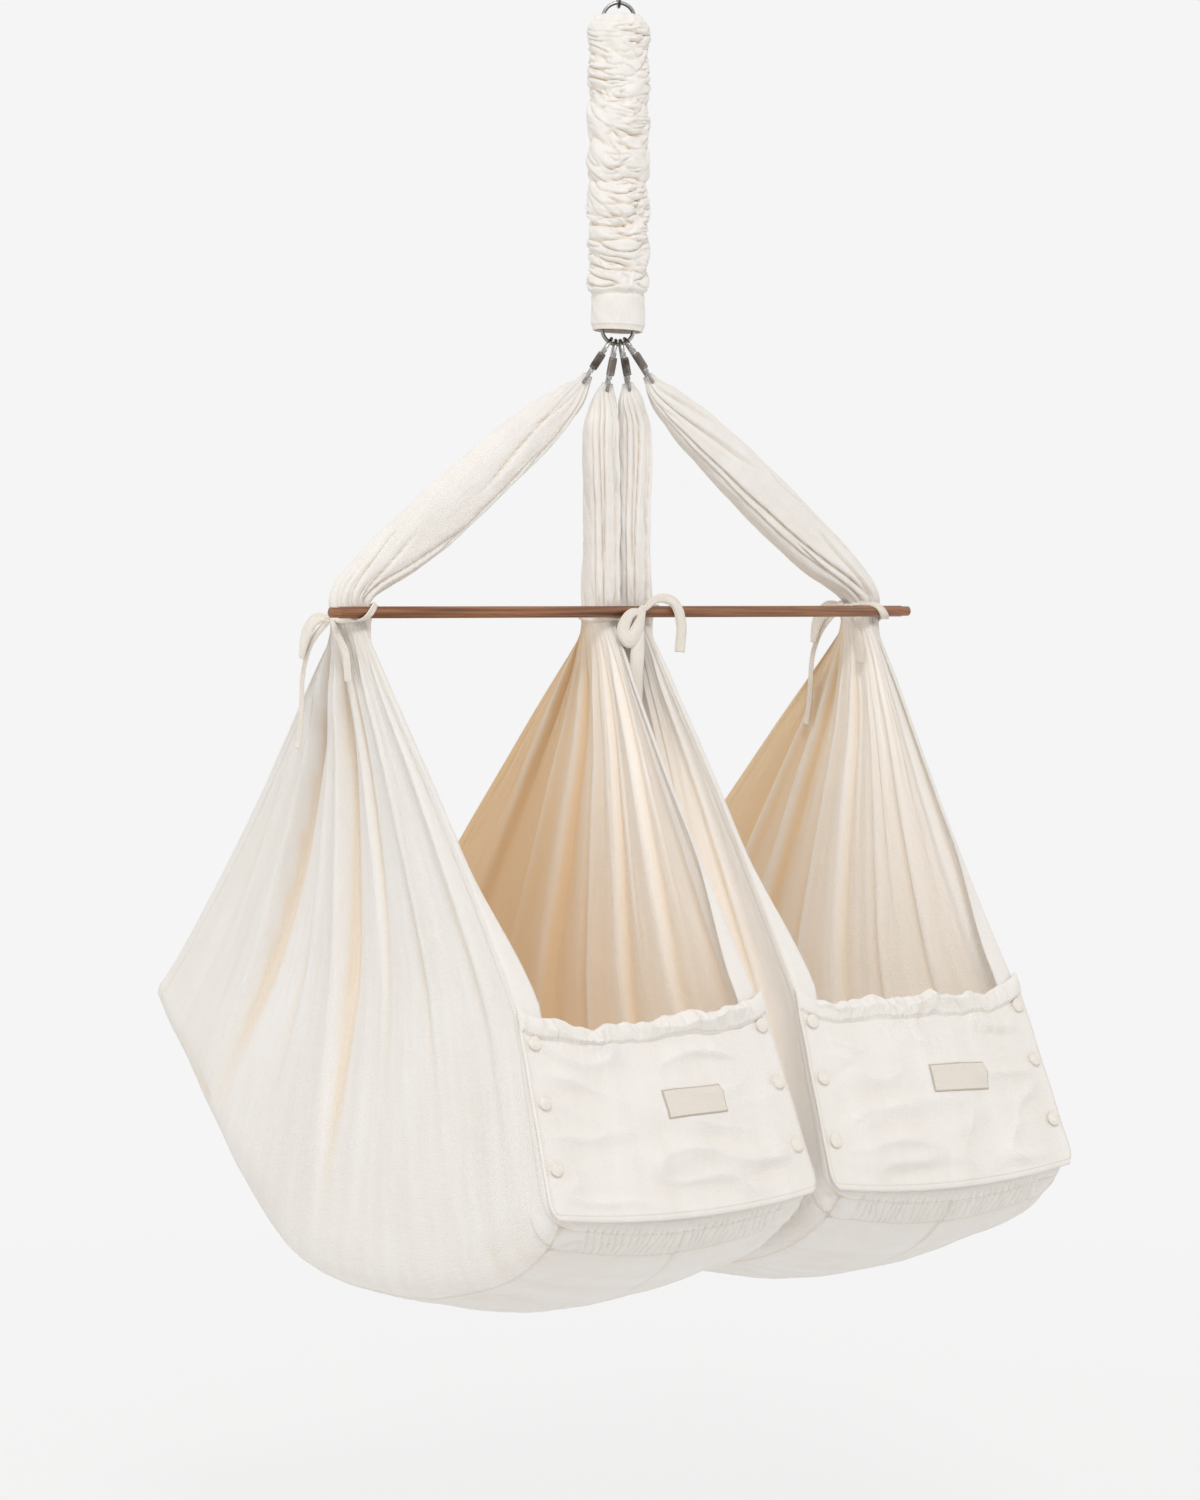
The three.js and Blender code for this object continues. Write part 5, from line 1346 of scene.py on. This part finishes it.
def ribbon(path, facing, widths, seed, curl=0.12):
    """Folded cotton tape along a path, cupped a little and stitched near its edge."""
    rows, columns = len(path), 13
    across = np.linspace(-1, 1, columns)[None, :]
    tangent = unit(np.gradient(path, axis=0))
    facing = unit(facing - tangent * (facing * tangent).sum(1, keepdims=True))
    broad = np.cross(tangent, facing)
    half = np.asarray(widths)[:, None] / 2
    along = np.linspace(0, 1, rows)[:, None] * rows
    wrinkle = 0.5 * noise(along / 9, across * 1.2, seed) + 0.25 * noise(along / 4, across * 2.5, seed + 1)
    lift = -curl * half * across**2 + wrinkle
    thick = TIE_THICKNESS / 2 * np.sqrt(np.maximum(1 - 0.8 * across**4, 0.1))
    middle = path[:, None] + broad[:, None] * (half * across)[..., None]
    over = middle + facing[:, None] * (lift + thick)[..., None]
    under = middle + facing[:, None] * (lift - thick)[..., None]
    long_way = along_grid(over, 0)
    weave = np.stack([long_way, np.broadcast_to(half * across, long_way.shape)], axis=-1)
    seam = np.stack([long_way, 3.6 - half * (1 - np.abs(across)) + 0 * long_way], axis=-1)
    # Painted shade: a tan tint in the tape's hollows and along its curled edges
    painted_warm_shade = np.clip(0.05 + 0.35 * hollows(lift + 0 * long_way, 3) + 0.1 * np.abs(across) ** 6, 0, 1)
    return cloth_piece("tape", over, under, tie_cotton, weave, seam, Warmth=(painted_warm_shade, painted_warm_shade))


def lashing(x, spread, rise):
    """A tie's places and outward directions: slanting over the bar, then round the gathered cloth."""
    round_bar = BAR_RADIUS + TIE_LIFT
    crossing = BUNDLE_X / 4 + spread / 3
    places, outs = [], []
    for part in np.linspace(0, 1, 7):
        angle = mix(-math.pi / 2, math.pi / 2, part)
        out = np.array([0, -math.cos(angle), math.sin(angle)])
        over_bar = np.array([x + rise * mix(-crossing, crossing, part), BAR_Y, -BAR_DROP])
        places.append(over_bar + out * round_bar)
        outs.append(out)
    for part in (np.arange(10) + 0.5) / 10:
        angle = mix(-math.pi / 3, 4 / 3 * math.pi, part)
        out = np.array([rise * math.cos(angle), math.sin(angle), 0])
        reach = out * (BUNDLE_X / 2 + TIE_LIFT, BUNDLE_Y / 2 + TIE_LIFT, 0)
        height = mix(round_bar, -round_bar, part) - BAR_DROP
        places.append(reach + (x + spread * np.sign(out[0]), 0, height))
        outs.append(out)
    return places + places[:1], outs + outs[:1]


# Points along a lashing, a tail and a knot's loop
LASHING_STEPS = 150
TAIL_STEPS = 70
KNOT_STEPS = 48

# Widths along a tail and routes from the knot, both in widths of the tie
RIBBON = (1, 1, 1, 1.05, 1.1)
LEAF = (0.7, 1.7, 2.5, 2.4, 1.8, 0.6)
FLAP = (0.7, 1.2, 1.5, 1.7, 1.8, 1.7)
BOW = (0.7, 1.6, 2.2, 2.4, 2, 1)
SIDE_TAILS = (
    (
        RIBBON,
        (0.125, 0, 0),
        (-0.5, 3.75, -3.25),
        (-0.125, 6.75, -7.75),
        (0.25, 7.75, -12.75),
        (0.25, 8.75, -18),
    ),
    (BOW, (0.125, 0, 0.125), (-1, 2.25, -0.25), (-1.375, 4.25, -2.5), (-1.25, 5.25, -5.5)),
    (FLAP, (0.125, -0.25, 0), (-0.25, -2.25, -2), (0.625, -3, -4.75), (1, -3.125, -8.5)),
)
MIDDLE_TAILS = (
    (LEAF, (0, 0, 0), (-0.625, -0.5, -3.375), (-1, -0.5, -8.875), (-0.375, -0.25, -14.875)),
    (
        FLAP,
        (0.125, 0, 0),
        (2.875, -0.25, 1.75),
        (5.625, -0.25, 1.125),
        (6.875, -0.25, -1.625),
        (6.625, -0.25, -5.875),
    ),
    (
        BOW,
        (-0.1, -0.2, 0),
        (-2.2, -0.5, -0.5),
        (-3.4, -0.6, -2.7),
        (-2.4, -0.8, -4.1),
        (-0.9, -0.7, -2.2),
        (0, -0.4, 0),
    ),
)


def tie(name, x, spread, rise, knot, knot_size, tails, facing, seed):
    """A tie lashed round the gather and the bar, its loose tails, and a knot of three crossed loops."""
    places, outs = lashing(x, spread, rise)
    path = smooth_path(places, LASHING_STEPS)
    outwards = smooth_path(outs, LASHING_STEPS)
    twist = 1 - 0.35 * np.exp(-((np.linspace(0, 1, LASHING_STEPS) - 0.18) / 0.08) ** 2)
    pieces = [ribbon(path, outwards, TIE_WIDTH * 1.25 * twist, seed, curl=0.05)]
    for index, (widths, *route) in enumerate(tails):
        path = smooth_path([knot + np.array(place) * TIE_WIDTH for place in route], TAIL_STEPS)
        spots = np.linspace(0, 1, len(widths))
        size = np.interp(np.linspace(0, 1, TAIL_STEPS), spots, widths) * TIE_WIDTH
        outs = np.array([facing] * TAIL_STEPS, float)
        pieces.append(ribbon(path, outs, rounded(size, 6), seed + 10 * index, curl=0.3))
    across, around = knot_size
    for turn, size in ((0, 1), (1.1, 0.92), (2.3, 0.85)):
        angle = np.linspace(0, 2 * np.pi, KNOT_STEPS)
        lean = np.array(facing, float)
        beside = np.cross(lean, (0, 0, 1))
        axis = math.cos(turn) * beside + math.sin(turn) * np.array([0, 0, 1.0])
        other = np.cross(lean, axis)
        ring = np.cos(angle)[:, None] * lean * across * size + np.sin(angle)[:, None] * other * around * size
        widths = np.full(KNOT_STEPS, TIE_WIDTH * 0.75)
        pieces.append(ribbon(knot + ring, unit(ring), widths, seed + 40 + int(turn), curl=0.5))
    piece = joined(pieces, name + "_tape")
    stands_for(piece, "cotton_canvas", "twin_cradle", name)
    return piece


for name, x, rise in (("left_tie", -GATHER_X, 1), ("right_tie", GATHER_X, -1)):
    side_out = BUNDLE_X / 2 + TIE_LIFT + TIE_THICKNESS / 2
    knot = np.array([x - side_out - TIE_WIDTH / 8, TIE_WIDTH / 2, -BAR_DROP - rise * BAR_RADIUS])
    tape = tie(name, x, 0, rise, knot, (3.4, 5.2), SIDE_TAILS, (-1, 0, 0), 400 + rise * 30)
bar_front = BAR_Y - BAR_RADIUS - TIE_LIFT - TIE_THICKNESS / 2
knot = np.array([TIE_WIDTH * 3 / 8, bar_front - TIE_WIDTH / 8, -BAR_DROP + TIE_WIDTH / 8])
tape = tie("middle_tie", 0, INNER_GATHER_X, 1, knot, (3.4, 5.6), MIDDLE_TAILS, (0, -1, 0), 470)


# Bar, press studs and carabiners, modelled by hand


def edit(piece, pick):
    """Goes into edit mode on one piece with only the picked faces selected."""
    only(piece)
    bpy.ops.object.mode_set(mode="EDIT")
    bpy.ops.mesh.select_mode(type="FACE")
    bpy.ops.mesh.select_all(action="DESELECT")
    bpy.ops.object.mode_set(mode="OBJECT")
    for polygon in piece.data.polygons:
        polygon.select = bool(pick(polygon))
    bpy.ops.object.mode_set(mode="EDIT")


def rod(place, radius, length, sides, turn=(0, 0, 0)):
    """A cylinder at its size and place in millimetres, upright unless it is turned."""
    bpy.ops.object.select_all(action="DESELECT")
    place = [value * MM for value in place]
    bpy.ops.mesh.primitive_cylinder_add(
        vertices=sides, radius=radius * MM, depth=length * MM, location=place, rotation=turn
    )
    bpy.ops.object.transform_apply(location=True, rotation=True, scale=True)
    return bpy.context.object


def push(distance):
    """Moves what was just extruded along its own normal."""
    bpy.ops.mesh.extrude_region_shrink_fatten(TRANSFORM_OT_shrink_fatten={"value": distance})


def apply_modifier(piece, kind, **settings):
    only(piece)
    made = piece.modifiers.new(kind.lower(), kind)
    for key, value in settings.items():
        setattr(made, key, value)
    bpy.ops.object.modifier_apply(modifier=made.name)


def bevel(piece, width, segments, angle):
    """Rounds the edges that turn by more than an angle."""
    limit = math.radians(angle)
    apply_modifier(piece, "BEVEL", width=width * MM, segments=segments, limit_method="ANGLE", angle_limit=limit)


def finished(piece, name, finish, angle=35):
    only(piece)
    bpy.ops.object.transform_apply(location=True, rotation=True, scale=True)
    bpy.ops.object.shade_smooth_by_angle(angle=math.radians(angle))
    piece.name = name
    piece.data.materials.clear()
    piece.data.materials.append(finish)
    return piece


def turned_bar():
    """A turned dowel whose ends step down to thinner tips."""
    piece = rod((0, BAR_Y, -BAR_DROP), BAR_RADIUS, BAR_LENGTH - 2 * BAR_TIP_LENGTH, 48, (0, math.pi / 2, 0))
    edit(piece, lambda face: abs(face.normal.x) > 0.9)
    bpy.ops.mesh.inset(thickness=(BAR_DIAMETER - BAR_TIP_DIAMETER) / 2 * MM, use_individual=True)
    bpy.ops.object.mode_set(mode="OBJECT")
    for sign in (-1, 1):
        edit(piece, lambda face: face.normal.x * sign > 0.9 and len(face.vertices) > 8)
        push(BAR_TIP_LENGTH * MM)
        bpy.ops.object.mode_set(mode="OBJECT")
    bevel(piece, 0.9, 3, 40)
    return finished(piece, "oiled_bar", walnut)


stands_for(turned_bar(), "walnut", "twin_cradle", "spreader_bar")


def copied(piece, name, matrix):
    """A copy with its own mesh, moved by a matrix in millimetres."""
    copy = piece.copy()
    copy.data = piece.data.copy()
    copy.name = name
    moved = matrix.copy()
    moved.translation = matrix.translation * MM
    copy.data.transform(moved)
    bpy.context.scene.collection.objects.link(copy)
    return copy


def snap_cap():
    """A press stud's cap: a domed face in a raised rim, on a short post that goes through the cloth."""
    piece = rod((0, 0, 0.8), STUD_DIAMETER / 2, 1.6, 40)
    edit(piece, lambda face: face.normal.z > 0.9)
    rim_and_dome = (0.5, 0.45), (0.7, 0.1), (0.35, -0.3), (0.4, 0.35), (1.2, 0.45), (1.5, 0.3), (1.4, 0.12)
    for inset, rise in rim_and_dome:
        bpy.ops.mesh.inset(thickness=inset * MM)
        bpy.ops.transform.translate(value=(0, 0, rise * MM))
    bpy.ops.object.mode_set(mode="OBJECT")
    edit(piece, lambda face: face.normal.z < -0.9)
    bpy.ops.mesh.inset(thickness=2.4 * MM)
    push(2.4 * MM)
    bpy.ops.object.mode_set(mode="OBJECT")
    bevel(piece, 0.3, 2, 50)
    return finished(piece, "snap_cap", stud_finish, angle=50)


cap = snap_cap()
cap_axes = Matrix((PANEL_UP.cross(PANEL_OUT), PANEL_UP, PANEL_OUT)).transposed().to_4x4()
for hand, side in (("left", -1), ("right", 1)):
    for end, end_side in (("left", -1), ("right", 1)):
        near = STUD_INSET / SLING_BOTTOM_WIDTH
        across = 1 - near if side == end_side else near
        for number, up in enumerate(STUD_UPS, 1):
            place = panel_point(np.array(across), np.array(up), np.array(PANEL_THICKNESS + STUD_SEAT))
            cap_axes.translation = Vector(hung(place, side))
            piece = copied(cap, f"{hand}_{end}_cap_{number}", cap_axes)
            stands_for(piece, "stud_plastic", f"{hand}_front_flap", f"{hand}_{end}_stud_{number}")
bpy.data.objects.remove(cap)


def block(width, depth, span):
    """A block on the gate's line over a span of heights."""
    low, high = span
    bpy.ops.object.select_all(action="DESELECT")
    bpy.ops.mesh.primitive_cube_add(size=1, location=(-BOW_RADIUS * MM, 0, (low + high) / 2 * MM))
    piece = bpy.context.object
    piece.scale = (width * MM, depth * MM, (high - low) * MM)
    bpy.ops.object.transform_apply(location=True, rotation=True, scale=True)
    return piece


def gate_rod(span, radius, sides):
    """A cylinder on the gate's line over a span of heights."""
    low, high = span
    return rod((-BOW_RADIUS, 0, (low + high) / 2), radius, high - low, sides)


def combined(piece, tool, operation):
    apply_modifier(piece, "BOOLEAN", object=tool, operation=operation, solver="EXACT")
    bpy.data.objects.remove(tool)


def wire_body():
    """Bent wire: down the back, round both bows, with a flattened tongue for the hinge and the nose."""
    bpy.ops.object.select_all(action="DESELECT")
    low, high = -(CARABINER_REACH - BOW_RADIUS), -BOW_RADIUS
    stub = 0.6
    place = (-BOW_RADIUS * MM, 0, (low + stub) * MM)
    radius = CARABINER_WIRE / 2 * MM
    bpy.ops.mesh.primitive_circle_add(vertices=20, radius=radius, fill_type="NOTHING", location=place)
    piece = bpy.context.object
    bpy.ops.object.transform_apply(location=True, rotation=True, scale=True)
    bpy.ops.object.mode_set(mode="EDIT")
    bpy.ops.mesh.select_all(action="SELECT")
    for centre_z, travel in ((low, -stub), (high, high - low)):
        bpy.ops.mesh.extrude_region_move(TRANSFORM_OT_translate={"value": (0, 0, travel * MM)})
        bpy.ops.mesh.spin(steps=22, angle=math.pi, center=(0, 0, centre_z * MM), axis=(0, 1, 0))
    bpy.ops.mesh.select_all(action="SELECT")
    bpy.ops.mesh.remove_doubles(threshold=1e-6)
    bpy.ops.mesh.fill_holes(sides=0)
    bpy.ops.mesh.select_all(action="SELECT")
    bpy.ops.mesh.normals_make_consistent(inside=False)
    bpy.ops.object.mode_set(mode="OBJECT")
    for tongue in (NOSE_TONGUE, HINGE_TONGUE):
        combined(piece, block(CARABINER_WIRE, GATE_TONGUE, tongue), "UNION")
    bevel(piece, 0.25, 2, 50)
    return finished(piece, "wire_body", steel, angle=40)


def forked_gate():
    """A rod slotted at both ends: one fork holds the hinge's tongue, the other closes over the nose's."""
    piece = gate_rod(GATE_SPAN, GATE_DIAMETER / 2, 28)
    bevel(piece, 0.5, 3, 50)
    for slot in (NOSE_SLOT, HINGE_SLOT):
        combined(piece, block(8, GATE_TONGUE + 2 * GATE_SLOT_GAP, slot), "DIFFERENCE")
    return finished(piece, "forked_gate", steel, angle=40)


def knurled_sleeve():
    """The lock sleeve: a tube with rows of raised pads cut by the knurling wheel."""
    piece = gate_rod(LOCK_SLEEVE_SPAN, LOCK_SLEEVE_DIAMETER / 2, 36)
    low, high = LOCK_SLEEVE_SPAN
    middle = (low + high) / 2
    first, last = low + LOCK_SLEEVE_RIM, high - LOCK_SLEEVE_RIM
    for z in np.linspace(first, last, 12):
        edit(piece, lambda face: True)
        bpy.ops.mesh.bisect(plane_co=(0, 0, z * MM), plane_no=(0, 0, 1))
        bpy.ops.object.mode_set(mode="OBJECT")
    edit(piece, lambda face: abs(face.normal.z) < 0.1 and first < face.center.z / MM < last)
    bpy.ops.mesh.inset(thickness=0.14 * MM, depth=0.22 * MM, use_individual=True)
    bpy.ops.object.mode_set(mode="OBJECT")
    edit(piece, lambda face: abs(face.normal.z) > 0.9)
    bpy.ops.mesh.inset(thickness=0.7 * MM, use_individual=True)
    bpy.ops.transform.resize(value=(1, 1, 1.04), center_override=(-BOW_RADIUS * MM, 0, middle * MM))
    bpy.ops.object.mode_set(mode="OBJECT")
    bore = rod((-BOW_RADIUS, 0, middle), GATE_DIAMETER / 2 + 0.65, 30, 36)
    combined(piece, bore, "DIFFERENCE")
    # The sleeve takes the darker steel, painted shade
    return finished(piece, "knurled_sleeve", shaded_sleeve_steel, angle=25)


top_matrix = Matrix.Rotation(TURNED, 4, "Z") @ Matrix.Translation((0, 0, CARABINER_WIRE / 2))
carabiners = [("top_carabiner", top_matrix, "top_hanger")]
for name, lean in (
    ("left_outer_carabiner", OUTER_LEAN),
    ("left_inner_carabiner", INNER_LEAN),
    ("right_inner_carabiner", -INNER_LEAN),
    ("right_outer_carabiner", -OUTER_LEAN),
):
    carabiners.append((name, lower_carabiner_matrix(lean), "twin_cradle"))
models = (("body", wire_body()), ("gate", forked_gate()), ("lock_sleeve", knurled_sleeve()))
for name, matrix, hanger in carabiners:
    bodies = {"body": hanger, "gate": f"{name}_gate_lever", "lock_sleeve": f"{name}_screw_lock"}
    for part_name, model in models:
        piece = copied(model, f"{name}_{part_name}_steel", matrix)
        stands_for(piece, "steel", bodies[part_name], f"{name}_{part_name}")
    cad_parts[f"{name}_hinge_pin"].material_slots[0].material = steel
for _, model in models:
    bpy.data.objects.remove(model)


# Mattresses


def mattress(hand, side, seed):
    """A pad that lies along the floor's curve, crowned on top and piped round its edge."""
    stations, columns = 130, 120
    part = mix(*MATTRESS_SPAN, np.linspace(0, 1, stations))[:, None]
    from_end = np.minimum(np.linspace(0, 1, stations), 1 - np.linspace(0, 1, stations))[:, None] * 14
    fullness = np.interp(from_end, (0, 0.35, 1, 2), (0.12, 0.55, 0.9, 1))
    half = MATTRESS_WIDTH / 2 * np.interp(from_end, (0, 0.5, 1, 2), (0.9, 0.96, 0.99, 1))
    y, z = fold_line(part)
    before, after = fold_line(part - 0.02), fold_line(part + 0.02)
    slope = unit(np.stack([after[0] - before[0], after[1] - before[1]], axis=-1))
    up_y, up_z = slope[..., 1], -slope[..., 0]
    angle = np.linspace(0, 2 * np.pi, columns, endpoint=False)[None, :]
    across = np.sign(np.cos(angle)) * np.abs(np.cos(angle)) ** 0.45
    high = np.sign(np.sin(angle)) * np.abs(np.sin(angle)) ** 0.7
    x = half * across
    sag = HEM_SAG + (BELLY_SAG - HEM_SAG) * np.sin(np.pi * part)
    bottom = -sag * (1 - np.minimum(np.abs(x) / FLAT_HALF, 1) ** 2)
    lumps = 1.8 * noise(x / 46, part * 16, seed) + 1.1 * noise(x / 21, part * 34, seed + 1)
    thick = MATTRESS_THICKNESS / 2 * np.where(high < 0, 1, fullness)
    crown = np.where(high > 0, 5 * (1 - across**2) * fullness, 0)
    piping = 1.6 * np.exp(-((high / 0.08) ** 2)) * np.abs(across) ** 8
    lumps = np.where(high > 0, lumps * high, 0)
    height = HALF_SOLID_CLOTH + SEAT_GAP + MATTRESS_THICKNESS / 2 + thick * high + crown + lumps
    x = x + np.sign(x) * piping
    rings = np.stack(np.broadcast_arrays(x, y + up_y * height, z + bottom + up_z * height), axis=-1)
    # Painted shade: a tan tint along the piping
    painted_warm_shade = np.clip(piping / 4 + 0 * height, 0, 1)
    girth = 2 * MATTRESS_WIDTH + 60
    piece = wound_piece(f"{hand}_mattress_cover", hung(rings, side), mattress_cotton, girth, painted_warm_shade)
    stands_for(piece, "mattress_cloth", f"{hand}_mattress_pad", f"{hand}_mattress")


mattress("left", -1, 510)
mattress("right", 1, 540)
